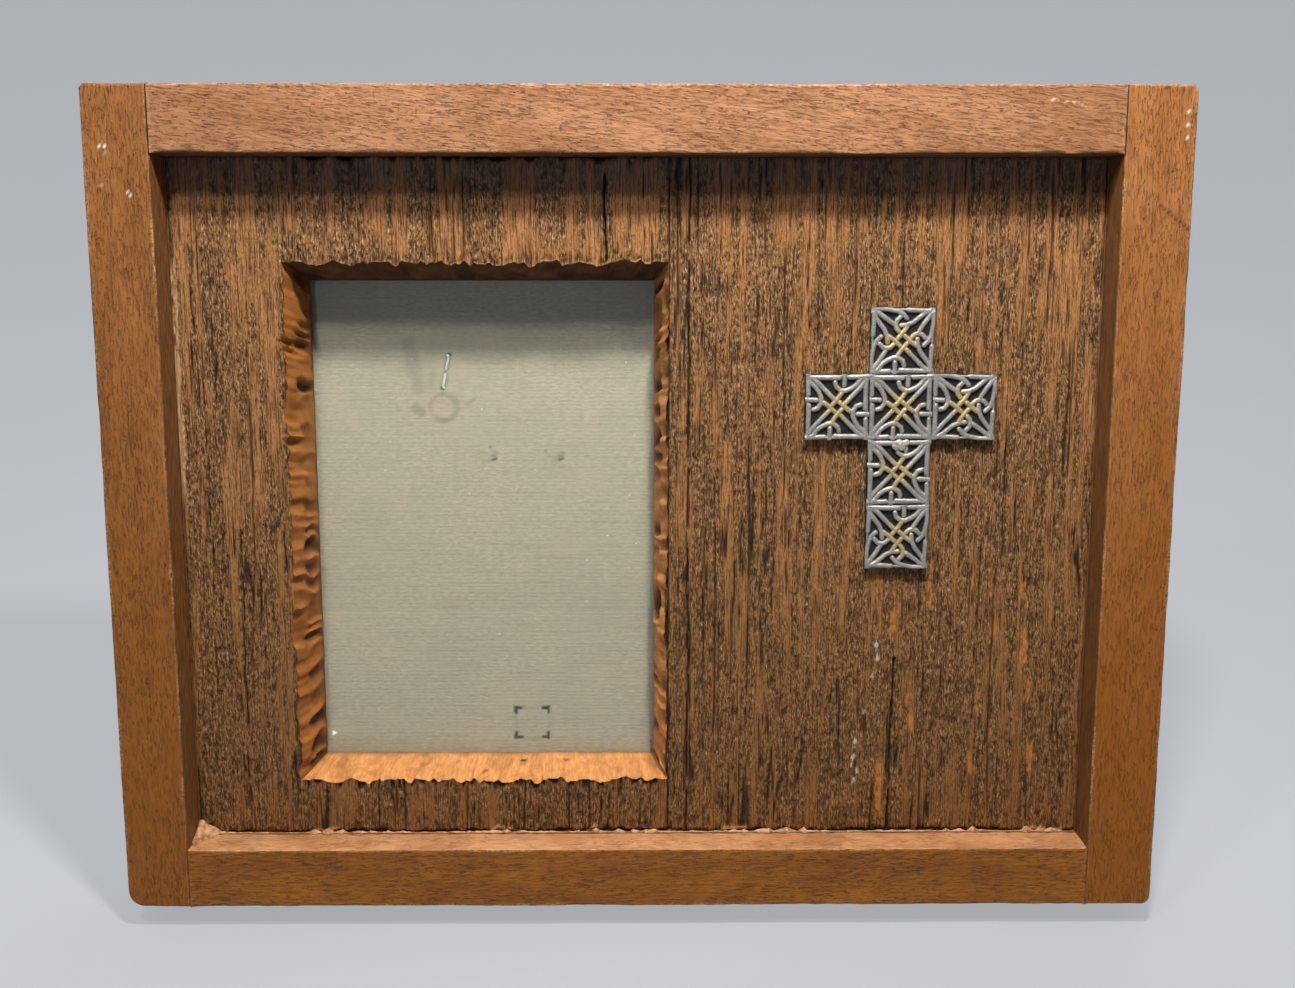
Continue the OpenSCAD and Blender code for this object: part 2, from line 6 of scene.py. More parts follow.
import bmesh
import bpy
import numpy as np
from mathutils import Euler, Matrix, Vector


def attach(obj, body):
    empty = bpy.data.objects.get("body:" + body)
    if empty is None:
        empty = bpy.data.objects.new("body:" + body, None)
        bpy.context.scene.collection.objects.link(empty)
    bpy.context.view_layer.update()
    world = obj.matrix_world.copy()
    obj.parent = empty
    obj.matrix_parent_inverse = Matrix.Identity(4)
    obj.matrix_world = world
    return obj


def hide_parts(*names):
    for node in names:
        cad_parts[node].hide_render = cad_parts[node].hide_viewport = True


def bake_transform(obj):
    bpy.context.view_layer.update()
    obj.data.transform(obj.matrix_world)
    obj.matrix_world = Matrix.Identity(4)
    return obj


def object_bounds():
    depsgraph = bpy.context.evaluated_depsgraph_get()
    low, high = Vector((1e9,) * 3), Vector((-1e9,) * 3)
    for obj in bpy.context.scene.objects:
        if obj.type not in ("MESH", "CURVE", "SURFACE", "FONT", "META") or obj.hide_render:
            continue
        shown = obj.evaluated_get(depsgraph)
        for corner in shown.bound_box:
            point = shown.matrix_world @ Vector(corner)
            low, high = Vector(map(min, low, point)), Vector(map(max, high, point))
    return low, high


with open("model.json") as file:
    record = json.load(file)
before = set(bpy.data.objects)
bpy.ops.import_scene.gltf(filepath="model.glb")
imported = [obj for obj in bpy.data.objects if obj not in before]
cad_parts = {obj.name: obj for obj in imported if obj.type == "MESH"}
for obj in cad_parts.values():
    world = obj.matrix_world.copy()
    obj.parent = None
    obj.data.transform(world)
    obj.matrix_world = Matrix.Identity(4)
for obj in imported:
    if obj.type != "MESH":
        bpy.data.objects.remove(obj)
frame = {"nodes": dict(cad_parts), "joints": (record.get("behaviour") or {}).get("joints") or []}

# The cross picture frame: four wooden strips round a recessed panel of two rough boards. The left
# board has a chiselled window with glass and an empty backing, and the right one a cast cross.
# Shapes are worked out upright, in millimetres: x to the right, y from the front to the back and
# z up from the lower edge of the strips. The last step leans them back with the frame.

CAD_BOX = [list(map(float, corner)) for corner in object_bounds()]
NODES = frame["nodes"]
STRIPS = ("left_stile", "right_stile", "top_rail", "bottom_rail")
MM = 0.001

# The lean is taken from a turn button's axis, which is square to the back
TURN_AXIS = next(j for j in frame["joints"] if j["name"] == "button_turn_1")["axis"]
LEAN = math.atan2(-TURN_AXIS[2], TURN_AXIS[1])
TURN = np.array(Matrix.Rotation(LEAN, 3, "X"))


def turned(name):
    """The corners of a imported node, turned upright, in metres."""
    flat = np.empty(len(NODES[name].data.vertices) * 3)
    NODES[name].data.vertices.foreach_get("co", flat)
    return flat.reshape(-1, 3) @ TURN.T


FOOT = np.vstack([turned(name) for name in STRIPS]).min(axis=0)
FOOT[0] = 0.0


def to_world(points):
    """Upright millimetres to leaning metres."""
    return (np.asarray(points, float) * MM + FOOT) @ TURN


def upright(name):
    """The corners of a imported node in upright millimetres."""
    return (turned(name) - FOOT) / MM


def span(name):
    """Lowest and highest corner of a node in the upright frame."""
    points = upright(name)
    return points.min(axis=0), points.max(axis=0)


def middle(name):
    return np.add(*span(name)) / 2


INNER_LEFT = span("left_stile")[1][0]
INNER_RIGHT, HALF_WIDTH = span("right_stile")[0][0], span("right_stile")[1][0]
INNER_LOW = span("bottom_rail")[1][2]
INNER_HIGH = span("top_rail")[0][2]
(_, PANEL_Y, _), (JOINT_X, BACK_Y, _) = span("left_board")
GLASS_LOW, GLASS_HIGH = span("glass_pane")
REBATE_Y = GLASS_LOW[1]
LEG_X = middle("ribbon_plate")[0]

# The window's inner edge at the rebate, and its wider front edge, which the joint cuts off at the
# right, as x and z of the lower left and upper right corner
WINDOW_LOW, WINDOW_HIGH = (-113.4, 42.0), (5.0, 211.4)
FRONT_LOW, FRONT_HIGH = (-117.9, 39.8), (JOINT_X, 217.8)
REBATE_GAP = 0.3

PRIMES = (73856093, 19349663, 83492791)


def scramble(n):
    """A fixed value from -1 to 1 for each whole number."""
    n = n & 0xFFFFFFFF
    n = ((n ^ (n >> 15)) * 1274126177) & 0xFFFFFFFF
    n = ((n ^ (n >> 13)) * 1103515245) & 0xFFFFFFFF
    return (n ^ (n >> 16)) / 2.0 ** 31 - 1.0


def noise(seed, *axes):
    """Smooth noise from -1 to 1 over one to three arrays of places, one step apart."""
    cells = [np.floor(axis).astype(np.int64) for axis in axes]
    parts = [axis - cell for axis, cell in zip(axes, cells)]
    parts = [part * part * (3 - 2 * part) for part in parts]
    total = 0.0
    for corner in itertools.product((0, 1), repeat=len(axes)):
        weight = 1.0
        place = np.int64(seed * 9176)
        for cell, part, step, prime in zip(cells, parts, corner, PRIMES):
            weight = weight * (part if step else 1 - part)
            place = place ^ ((cell + step) * prime)
        total = total + weight * scramble(place)
    return total


def smooth(low, high, value):
    """0 up to low, 1 from high on, and a soft step between them."""
    part = np.clip((value - low) / (high - low), 0.0, 1.0)
    return part * part * (3 - 2 * part)


def most(*values):
    """The highest of some values at each place."""
    return functools.reduce(np.maximum, values)


def unit(vectors):
    return vectors / np.linalg.norm(vectors, axis=-1, keepdims=True)


def travelled(path):
    """The way covered up to each point of a path."""
    return np.concatenate([[0], np.cumsum(np.linalg.norm(np.diff(path, axis=0), axis=1))])


def spread(low, high, step, fine=0.3, reach=2.4):
    """Places from low to high, close together near both ends."""
    ends = np.arange(0.0, reach, fine)
    count = max(2, round((high - low - 2 * reach) / step) + 1)
    between = np.linspace(reach, high - low - reach, count)
    return low + np.concatenate([ends, between, (high - low) - ends[::-1]])


def steps(low, high, step):
    """Even places from low to high, about a step apart."""
    return np.linspace(low, high, max(2, round((high - low) / step) + 1))


def to_segment(x, z, a, b):
    """How far places are from the straight line between two points."""
    ax, az = a
    bx, bz = b[0] - ax, b[1] - az
    part = np.clip(((x - ax) * bx + (z - az) * bz) / (bx * bx + bz * bz), 0, 1)
    return np.hypot(x - ax - part * bx, z - az - part * bz)


def spots(places, x, z, ragged, core, flat=1.0):
    """1 in the core of ragged spots, given as x, z and size, and 0 outside them."""
    return most(*(smooth(size, size * core, np.hypot(x - sx, (z - sz) * flat) + ragged)
                  for sx, sz, size in places))


def same_places(points, fineness):
    """The first point at each distinct place, and the number of each point's place."""
    keys = np.round(points * fineness).astype(np.int64)
    _, first, same = np.unique(keys, axis=0, return_index=True, return_inverse=True)
    return first, same.ravel()


class Shell:
    """Sheets of points and flat faces that are welded into one mesh."""

    def __init__(self):
        self.points = []
        self.maps = []
        self.sizes = []
        self.faces = []
        self.marks = {}
        self.count = 0

    def _take(self, points, flat_map, marks):
        start = self.count
        self.count += len(points)
        self.points.append(points)
        self.maps.append(flat_map - flat_map.min(axis=0))
        self.sizes.append(np.ptp(flat_map, axis=0))
        for name in {**self.marks, **marks}:
            column = self.marks.setdefault(name, [np.zeros(start)])
            value = np.asarray(marks.get(name, 0.0), float).ravel()
            column.append(np.broadcast_to(value, len(points)))
        return start

    def sheet(self, points, **marks):
        """A grid of points as quads, with marks, which are values for the material."""
        rows, cols = points.shape[:2]
        u, v = np.meshgrid(travelled(points[rows // 2]), travelled(points[:, cols // 2]))
        start = self._take(points.reshape(-1, 3), np.stack([u.ravel(), v.ravel()], 1), marks)
        index = start + np.arange(rows * cols).reshape(rows, cols)
        quads = np.stack([index[:-1, :-1], index[:-1, 1:], index[1:, 1:], index[1:, :-1]], -1)
        self.faces.extend(quads.reshape(-1, 4).tolist())

    def face(self, *points, **marks):
        """One flat face with any number of corners."""
        points = np.vstack(points)
        edges = points - points.mean(axis=0)
        normal = abs(np.cross(edges, np.roll(edges, -1, axis=0)).sum(axis=0))
        start = self._take(points, np.delete(points, normal.argmax(), axis=1), marks)
        self.faces.append(list(range(start, start + len(points))))

    def _pack(self, gap=3.0):
        """Lays the islands out in rows on the unit square."""
        sizes = np.array(self.sizes) + gap
        width = max(math.sqrt(sizes.prod(axis=1).sum()) * 1.08, sizes[:, 0].max())
        x, y, tall = 0.0, 0.0, 0.0
        for k in np.argsort(-sizes[:, 1], kind="stable"):
            if x + sizes[k, 0] > width:
                x, y, tall = 0.0, y + tall, 0.0
            self.maps[k] = self.maps[k] + (x + gap / 2, y + gap / 2)
            x += sizes[k, 0]
            tall = max(tall, sizes[k, 1])
        return np.vstack(self.maps) / max(width, y + tall)

    def close_behind(self, depth, **marks):
        """Walls from the open edge back to one depth, and the flat face behind."""
        used = dict.fromkeys(pair for face in self.faces for pair in zip(face, face[1:] + face[:1]))
        after = {a: b for a, b in used if (b, a) not in used}
        points = np.vstack(self.points)
        while after:
            ring = [next(iter(after))]
            while ring[-1] in after:
                ring.append(after.pop(ring[-1]))
            front = points[ring]
            back = front.copy()
            back[:, 1] = depth
            self.sheet(np.stack([front, back]), **marks)
            self.face(back[:-1], **marks)

    def build(self, name, crease=38.0):
        """The welded mesh as an object in the world's frame."""
        raw = np.vstack(self.points)
        first, same = same_places(raw, 5000)
        faces, corners = [], []
        for face in self.faces:
            welded = same[face].tolist()
            keep = [k for k in range(len(face)) if welded[k] != welded[k - 1]]
            if len(keep) > 2 and len({welded[k] for k in keep}) == len(keep):
                faces.append([welded[k] for k in keep])
                corners.extend(face[k] for k in keep)
        mesh = bpy.data.meshes.new(name)
        mesh.from_pydata(to_world(raw[first]).tolist(), [], faces)
        mesh.uv_layers.new(name="OFBake").data.foreach_set("uv", self._pack()[corners].ravel())
        for mark, columns in self.marks.items():
            values = np.concatenate(columns)[first]
            mesh.attributes.new(mark, "FLOAT", "POINT").data.foreach_set("value", values)
        return stand(name, mesh, crease)


def link(name, data):
    """Puts new data in the scene as an object."""
    thing = bpy.data.objects.new(name, data)
    bpy.context.scene.collection.objects.link(thing)
    return thing


def stand(name, mesh, crease):
    """Puts a mesh in the scene with its faces outward and its edges smooth below a crease angle."""
    work = bmesh.new()
    work.from_mesh(mesh)
    bmesh.ops.recalc_face_normals(work, faces=work.faces)
    work.to_mesh(mesh)
    work.free()
    mesh.shade_smooth()
    mesh.set_sharp_from_angle(angle=math.radians(crease))
    return link(name, mesh)


def dress(piece, node, material, body="frame"):
    """Gives a piece its material, and lets it stand for a node on its body, if it has just one."""
    paint_over(piece, material)
    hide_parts(node)
    if body:
        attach(piece, body)


def paint_over(thing, material):
    thing.data.materials.clear()
    thing.data.materials.append(material)


def softened(name, width, front=None):
    """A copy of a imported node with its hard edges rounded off, and nothing before a front depth."""
    mesh = NODES[name].data.copy()
    if front is not None:
        points = upright(name)
        points[:, 1] = np.maximum(points[:, 1], front)
        mesh.vertices.foreach_set("co", to_world(points).ravel())
    work = bmesh.new()
    work.from_mesh(mesh)
    bmesh.ops.remove_doubles(work, verts=work.verts, dist=1e-6)
    bmesh.ops.dissolve_limit(work, angle_limit=math.radians(1), verts=work.verts, edges=work.edges)
    sharp = [edge for edge in work.edges
             if len(edge.link_faces) == 2 and edge.calc_face_angle() > math.radians(50)]
    bmesh.ops.bevel(work, geom=sharp, offset=width * MM, segments=2, profile=0.5, affect="EDGES",
                    clamp_overlap=True)
    bmesh.ops.triangulate(work, faces=[face for face in work.faces if len(face.verts) > 4])
    work.to_mesh(mesh)
    work.free()
    mesh.materials.clear()
    return stand(name + "_soft", mesh, crease=35)


# Materials

def colour(red, green, blue):
    """A colour in steps of 0 to 255, as the shader's linear values."""
    return tuple(((part / 255 + 0.055) / 1.055) ** 2.4 for part in (red, green, blue)) + (1.0,)


class Tree:
    """Shader nodes that are added one after another."""

    def __init__(self, owner):
        owner.use_nodes = True
        self.nodes = owner.node_tree.nodes
        self.links = owner.node_tree.links

    def add(self, kind, inputs=None, **settings):
        node = self.nodes.new("ShaderNode" + kind)
        for key, value in settings.items():
            setattr(node, key, value)
        for socket, value in (inputs or {}).items():
            self.join(value, node.inputs[socket])
        return node

    def join(self, value, socket):
        """Gives a socket a number, a colour in steps of 0 to 255 or another socket's value.

        A word is the name of a mesh's mark, and a value with two to four numbers after it is a level."""
        if isinstance(value, str):
            value = self.mark(value)
        elif isinstance(value, tuple) and not isinstance(value[0], (int, float)):
            value = self.level(*value)
        if isinstance(value, bpy.types.NodeSocket):
            self.links.new(value, socket)
        elif socket.type == "RGBA" and len(value) == 3:
            socket.default_value = colour(*value)
        else:
            socket.default_value = value

    def mark(self, name):
        return self.add("Attribute", attribute_name=name).outputs["Fac"]

    def math(self, operation, first, second):
        return self.add("Math", {0: first, 1: second}, operation=operation).outputs[0]

    def times(self, first, second):
        return self.math("MULTIPLY", first, second)

    def level(self, value, low, high, start=0.0, end=1.0):
        """A soft step of a value from low to high."""
        inputs = {"Value": value, "From Min": low, "From Max": high, "To Min": start, "To Max": end}
        return self.add("MapRange", inputs, interpolation_type="SMOOTHSTEP").outputs[0]

    def background_rays(self):
        """1 for what the camera sees directly, in metal or through glass, and 0 for light on the object."""
        rays = self.add("LightPath").outputs
        direct = self.math("MAXIMUM", rays["Is Camera Ray"], rays["Is Glossy Ray"])
        return self.math("MAXIMUM", direct, rays["Is Transmission Ray"])

    def show(self, share, first, second, output):
        """Sends two shaders to the output, the second one by its share."""
        both = self.add("MixShader", {0: share, 1: first.outputs[0], 2: second.outputs[0]})
        self.join(both.outputs[0], self.nodes[output].inputs["Surface"])


class Paint(Tree):
    """A material whose base colour is laid on in coats. Places are upright millimetres."""

    def __init__(self, name, sockets=None):
        self.material = bpy.data.materials.new(name)
        super().__init__(self.material)
        self.shader = self.nodes["Principled BSDF"]
        for socket, value in (sockets or {}).items():
            self.shader.inputs[socket].default_value = value
        place = self.add("TexCoord").outputs["Object"]
        self.place = self.add("Mapping", {"Vector": place, "Rotation": (LEAN, 0, 0), "Scale": (1 / MM,) * 3,
                                          "Location": tuple(-FOOT / MM)}).outputs[0]

    def grain(self, size, turn=0):
        """The place in grains of one size or of three, after a turn about y in degrees."""
        place = self.place
        if turn:
            place = self.add("Mapping", {"Vector": place, "Rotation": (0, math.radians(turn), 0)}).outputs[0]
        scale = tuple(1 / part for part in np.broadcast_to(size, 3).tolist())
        return self.add("Mapping", {"Vector": place, "Scale": scale}).outputs[0]

    def noise(self, size, turn=0, detail=3.0, rough=0.55):
        inputs = {"Vector": self.grain(size, turn), "Scale": 1.0, "Detail": detail, "Roughness": rough}
        return self.add("TexNoise", inputs).outputs[0]

    def mix(self, factor, first, second):
        return self.add("Mix", {0: factor, 6: first, 7: second}, data_type="RGBA").outputs[2]

    def tones(self, value, first, second, low=0.3, high=0.7):
        """From one colour to another as a value rises."""
        return self.mix(self.level(value, low, high), first, second)

    def coat(self, cover, tone, amount=None):
        """Lays a colour on the base where a value is 1, or less of it by an amount."""
        if amount is not None:
            cover = self.times(cover, amount)
        self.base = self.mix(cover, self.base, tone)

    def bump(self, height, distance, strength=1.0):
        inputs = {"Height": height, "Distance": distance * MM, "Strength": strength}
        return self.add("Bump", inputs).outputs[0]

    def finish(self, roughness=None, normal=None, metallic=None):
        given = {"Base Color": self.base, "Roughness": roughness, "Normal": normal, "Metallic": metallic}
        for socket, value in given.items():
            if value is not None:
                self.join(value, self.shader.inputs[socket])
        return self.material


def strip_wood(name, pale, mid, dark, along, flecks, turn=0):
    """Bare wood of the strips: mottled, with short dark pores along one axis and worn edges. Shade is
    painted on the recess's walls, under the top rail and in the recess's corners, light on the ledge, and a
    highlight along the top edge.
    """
    paint = Paint(name, {"Specular IOR Level": 0.35})

    def fibres(short, long, way=turn, **more):
        size = [long if axis == along else short for axis in range(3)]
        return paint.noise(size, way, **more)

    fine = fibres(0.9, 7, detail=4, rough=0.6)
    patch = paint.noise(13, detail=4, rough=0.6)
    dashes = fibres(0.42, 2.6, detail=2, rough=0.7)
    crowd = paint.level(fibres(6, 20, detail=2), 0.3, 0.6, 0.25, 1.0)
    pores = paint.times((dashes, 0.55, 0.65), crowd)
    paint.base = paint.tones(fibres(9, 45), mid, pale)
    paint.coat((fine, 0.42, 0.75, 0, 0.65), dark)
    paint.coat((fibres(0.6, 1.1, 0, detail=2), 0.62, 0.7), dark, 0.7)
    paint.coat((patch, 0.45, 0.72, 0, 0.4), pale)
    paint.coat((dashes, 0.42, 0.34), pale, 0.35)
    paint.coat(pores, (88, 53, 28), flecks)
    paint.coat((fibres(0.28, 17, turn + 24, detail=2), 0.66, 0.74), (206, 158, 112), 0.22)
    paint.coat("warm", paint.mix(fine, (162, 96, 10), (128, 68, 5)))
    # Painted shade on the stiles' inner walls and under the top rail, and painted light on the ledge, which
    # faces up
    paint.coat("inner", paint.tones(fine, (132, 83, 34), (78, 49, 20)))
    paint.coat("ledge", paint.tones(patch, (216, 160, 112), (182, 124, 80)))
    # Wear, and a painted highlight along the frame's top edge
    paint.coat(paint.times("wear", (paint.noise(0.8), 0.4, 0.6)), (214, 174, 130), 0.6)
    paint.coat("chip", (232, 224, 206))
    # Dark joints and scratches, and painted shade in the recess's corners
    paint.coat("grime", (26, 19, 15))
    height = paint.math("SUBTRACT", paint.times(fine, 0.8), pores)
    return paint.finish((patch, 0.3, 0.8, 0.52, 0.74), paint.bump(height, 0.42, 0.95))


def panel_wood():
    """The rough-sawn boards: smooth orange streaks, dark pitted bands, and bright cut walls. Shade is
    painted on the walls, along the panel's edges, above the ledge and under the top rail, and light on the
    lit walls.
    """
    paint = Paint("panel_wood_bare", {"Specular IOR Level": 0.3})
    fine = paint.noise((0.6, 2, 9), detail=4, rough=0.65)
    comb = paint.noise((0.4, 3, 15), detail=2)
    patch = paint.noise((15, 15, 28), detail=4, rough=0.6)
    crumbs = paint.noise((0.42, 0.7, 1.5), 4, rough=0.6)
    breaks = paint.level(paint.noise((1.4, 3, 4.5), detail=2), 0.38, 0.5, 0.25, 1.0)
    glints = paint.level(paint.noise((0.35, 0.5, 0.7), detail=2), 0.7, 0.76)
    band = paint.mark("rough")
    pits = paint.times((crumbs, 0.53, 0.61), (band, 0.0, 0.8, 0.32, 1.0))
    place = paint.add("SeparateXYZ", {"Vector": paint.place}).outputs
    paint.base = paint.tones(fine, (131, 88, 46), (172, 120, 67))
    paint.coat((patch, 0.35, 0.7, 0, 0.5), (134, 93, 58))
    paint.coat("streak", paint.tones(comb, (156, 105, 60), (194, 136, 84), 0.35, 0.65), 0.6)
    paint.coat(band, paint.tones(fine, (123, 87, 51), (164, 121, 75)), 0.65)
    paint.coat(pits, (54, 37, 25), 0.8)
    paint.coat((crumbs, 0.42, 0.34), (204, 168, 128), (band, 0.1, 0.8, 0.15, 0.8))
    paint.coat(glints, (226, 208, 184), band)
    paint.coat((comb, 0.4, 0.47, 0.8, 0.0), (58, 40, 26), breaks)
    # The boards get darker and more orange towards the bottom, and a grey painted shadow tint high up on
    # their front, under the top rail
    paint.coat((place["Z"], 190, 20), (116, 73, 22), 0.32)
    paint.coat((place["Z"], 235, 248, 0, 0.4), (112, 106, 110), (place["Y"], 22, 18))
    paint.coat("warm", (194, 124, 56))
    paint.coat("filler", (200, 158, 116), 0.8)
    sawn_face = paint.base
    paint.base = paint.tones(paint.noise((0.8, 9, 0.8), rough=0.6), (184, 117, 57), (212, 147, 86))
    paint.coat((paint.noise((3.5, 6, 3.5)), 0.48, 0.7, 0, 0.55), (150, 86, 40))
    # On the window walls: a warm tint of painted shade, a pale tint of painted light, and painted shade on
    # their shaded sides, in their hollows and by the glass
    paint.coat("warm", (176, 106, 30))
    paint.coat("streak", (214, 168, 108))
    paint.coat("facet", (62, 36, 14))
    paint.base = paint.mix("cut", sawn_face, paint.base)
    paint.coat("chip", (236, 230, 214))
    # Near black in grooves, pits, cracks, tears and the joint between the boards, and painted shade along
    # the panel's edges, above the ledge and where the window walls meet the glass
    paint.coat("groove", (24, 18, 13))
    height = paint.math("ADD", comb, paint.times(fine, 0.7))
    height = paint.math("SUBTRACT", height, paint.times(pits, 1.4))
    strength = paint.level("cut", 0.0, 1.0, 1.0, 0.3)
    return paint.finish((patch, 0.3, 0.8, 0.62, 0.85), paint.bump(height, 0.4, strength))


def glue_amber():
    paint = Paint("dried_glue_ragged", {"Specular IOR Level": 0.6})
    lumps = paint.noise(2.2, detail=4, rough=0.6)
    paint.base = paint.tones(lumps, (150, 104, 66), (212, 162, 118), 0.35, 0.65)
    paint.coat((paint.noise(0.5), 0.62, 0.72, 0, 0.7), (60, 38, 26))
    return paint.finish((lumps, 0.3, 0.7, 0.3, 0.6), paint.bump(lumps, 0.3, 0.6))


def metal(name, bright, dull, metallic, low, high):
    """Plain worn metal with a dull film in patches and fine scratches."""
    paint = Paint(name)
    patch = paint.noise(3, detail=5, rough=0.65)
    grains = paint.noise(0.5)
    scratch = paint.noise((0.2, 0.2, 5), 35, detail=2)
    film = paint.level(patch, 0.42, 0.66)
    paint.base = paint.mix(film, bright, dull)
    paint.coat((grains, 0.6, 0.75, 0, 0.5), dull)
    height = paint.math("ADD", paint.times(grains, 0.6), paint.times(scratch, 0.4))
    return paint.finish((patch, 0.35, 0.7, low, high), paint.bump(height, 0.05, 0.5),
                        (film, 0, 1, metallic, metallic - 0.3))


def pewter():
    """Antiqued cast metal: bright worn strands, black recesses and traces of gold in the middles."""
    paint = Paint("antique_pewter_cast")
    grains = paint.noise(0.35, detail=4, rough=0.65)
    paint.base = paint.tones(grains, (128, 126, 122), (178, 175, 169))
    paint.coat("gold", paint.tones(grains, (160, 134, 78), (214, 190, 134)))
    paint.coat((paint.noise(4), 0.5, 0.75, 0, 0.3), (110, 106, 100))
    shown = paint.level(paint.math("ADD", "height", paint.times(grains, 0.3)), 0.5, 0.9)
    paint.base = paint.mix(shown, (12, 11, 10), paint.base)
    return paint.finish((shown, 0, 1, 0.9, 0.46), paint.bump(grains, 0.12, 0.6),
                        (shown, 0.2, 1, 0.0, 0.55))


def window_glass():
    """Clear glass with a faint film. Lamps shine through it onto the paper."""
    paint = Paint("clear_glass_pane", {"Roughness": 0.03, "Transmission Weight": 1.0, "IOR": 1.45})
    film = paint.noise((30, 30, 18), detail=5, rough=0.6)
    specks = paint.level(paint.noise(0.9, detail=2), 0.74, 0.8)
    paint.base = paint.mix(film, (250, 252, 250), (243, 248, 245))
    paint.finish(paint.math("ADD", (film, 0.4, 0.8, 0.0, 0.04), paint.times(specks, 0.3)))
    clear = paint.add("BsdfTransparent", {"Color": (243, 248, 245)})
    shadow = paint.add("LightPath").outputs["Is Shadow Ray"]
    paint.show(shadow, paint.shader, clear, "Material Output")
    return paint.material


def ribbed_paper():
    paint = Paint("ribbed_paper_grey", {"Specular IOR Level": 0.3})
    fibre = paint.noise((2.2, 1, 0.7), detail=5, rough=0.65)
    patch = paint.noise((40, 40, 28), detail=4)
    specks = paint.level(paint.noise((0.8, 0.8, 0.7), detail=2), 0.7, 0.76)
    paint.base = paint.tones(fibre, (130, 119, 105), (153, 141, 126))
    paint.coat((patch, 0.35, 0.7, 0, 0.5), (133, 127, 114))
    paint.coat((paint.noise((22, 22, 14)), 0.5, 0.75, 0, 0.35), (160, 138, 120))
    paint.coat((paint.noise((26, 5, 0.8)), 0.5, 0.75, 0, 0.4), (112, 103, 92))
    paint.coat(specks, (84, 76, 68), 0.45)
    # Smudges, and painted shadows on the dimples
    paint.coat("smudge", (96, 89, 82))
    paint.coat("hole", (30, 25, 23))
    paint.coat("chip", (240, 238, 230))
    return paint.finish((patch, 0.3, 0.7, 0.7, 0.85), paint.bump(fibre, 0.08, 0.6))


def hardboard():
    paint = Paint("backing_hardboard_brown", {"Specular IOR Level": 0.3})
    fibre = paint.noise(1.6, detail=5, rough=0.7)
    paint.base = paint.tones(fibre, (104, 72, 46), (142, 102, 68))
    paint.coat((paint.noise(35, detail=4), 0.4, 0.7, 0, 0.4), (90, 62, 42))
    return paint.finish((fibre, 0.3, 0.7, 0.6, 0.8), paint.bump(fibre, 0.12, 0.6))


def leg_board():
    paint = Paint("leg_board_dark", {"Specular IOR Level": 0.3, "Sheen Weight": 0.15})
    pebble = paint.add("TexVoronoi", {"Vector": paint.grain(0.7), "Scale": 1.0}).outputs["Distance"]
    patch = paint.noise((22, 22, 30), detail=4)
    paint.base = paint.tones(patch, (46, 41, 37), (68, 61, 54))
    paint.coat((paint.noise(3), 0.66, 0.76), (104, 92, 78), 0.5)
    return paint.finish((patch, 0.3, 0.7, 0.6, 0.8), paint.bump(pebble, 0.12, 0.7))


def ribbon_weave():
    paint = Paint("ribbon_cloth_black", {"Sheen Weight": 0.3, "Specular IOR Level": 0.25})
    across = paint.add("TexWave", {"Vector": paint.grain(1), "Scale": 1.1}, bands_direction="X")
    along = paint.add("TexWave", {"Vector": paint.grain(1), "Scale": 0.9}, bands_direction="Z")
    weave = paint.times(across.outputs["Fac"], along.outputs["Fac"])
    paint.base = paint.mix(weave, (26, 24, 23), (60, 56, 52))
    paint.coat((paint.noise(3, detail=4), 0.55, 0.75, 0, 0.4), (92, 86, 78))
    return paint.finish((weave, 0, 1, 0.8, 0.6), paint.bump(weave, 0.12, 0.8))


# The four strips

EDGE_REACH = 1.1
BITE_X = 130.3
CHIPS = ((-168.9, 254.0, 0.8), (-167.7, 253.6, 0.5), (-168.1, 251.8, 0.6), (-169.4, 241.7, 0.6),
         (-161.4, 239.6, 0.5), (-160.6, 238.6, 0.6), (171.9, 264.4, 0.8), (172.1, 260.4, 0.55),
         (171.8, 256.5, 0.75), (122.3, 255.2, 0.5), (131.7, 256.5, 0.6), (129.5, 268.2, 0.5),
         (133.6, 267.6, 0.4), (138.2, 266.9, 0.5), (173.2, 248.2, 0.6))
SCRATCHES = (((164.4, 235.8), (174.4, 228.1)), ((-173.4, 119.7), (-162.0, 101.2)),
             ((128.0, 268.6), (139.0, 266.8)))
RECESS_SIDE = 155.5
# Amount of a darker, more orange tone towards the foot of each stile, the heights where it ends and where it
# is full, and its seed
FOOT_TONES = {"right_stile": (0.9, 230, 40, 27), "left_stile": (0.7, 190, 20, 28)}


def to_joint(x):
    """How far places are from the joints between stiles and rails."""
    return np.minimum(abs(x - INNER_LEFT), abs(x - INNER_RIGHT))


def edge_radius(name, x, y, z):
    """How far the strips' long edges are worn round, which is little where two strips meet."""
    radius = 0.75 + 0.45 * noise(11, x / 17, z / 17 + y / 60) + 0.25 * noise(12, x / 4, z / 4)
    if name == "top_rail":
        bite = 1.1 * smooth(4.5, 1.0, abs(x - BITE_X))
        low_edge = smooth(5, 1, z - INNER_HIGH) * smooth(6, 2, y)
        radius = radius + low_edge * (0.45 + 0.45 * noise(13, x / 9) + bite)
    if "rail" in name:
        from_joint = np.minimum(x - INNER_LEFT, INNER_RIGHT - x)
        radius = 0.22 + (radius - 0.22) * smooth(0.2, 2.5, from_joint)
    return np.clip(radius, 0.2, 3.0)


def round_corner(p, low, high, way, reach):
    """Turns one of a strip's square corners, seen from the front, into a round one."""
    flat = p[..., ::2]
    centre = np.where(np.array(way) > 0, high[::2] - reach, low[::2] + reach)
    out = (flat - centre) * way
    beyond = (out > 0).all(axis=-1)
    out = out[beyond]
    scale = out.max(axis=-1) / np.hypot(out[:, 0], out[:, 1])
    flat[beyond] = centre + out * way * scale[:, None]


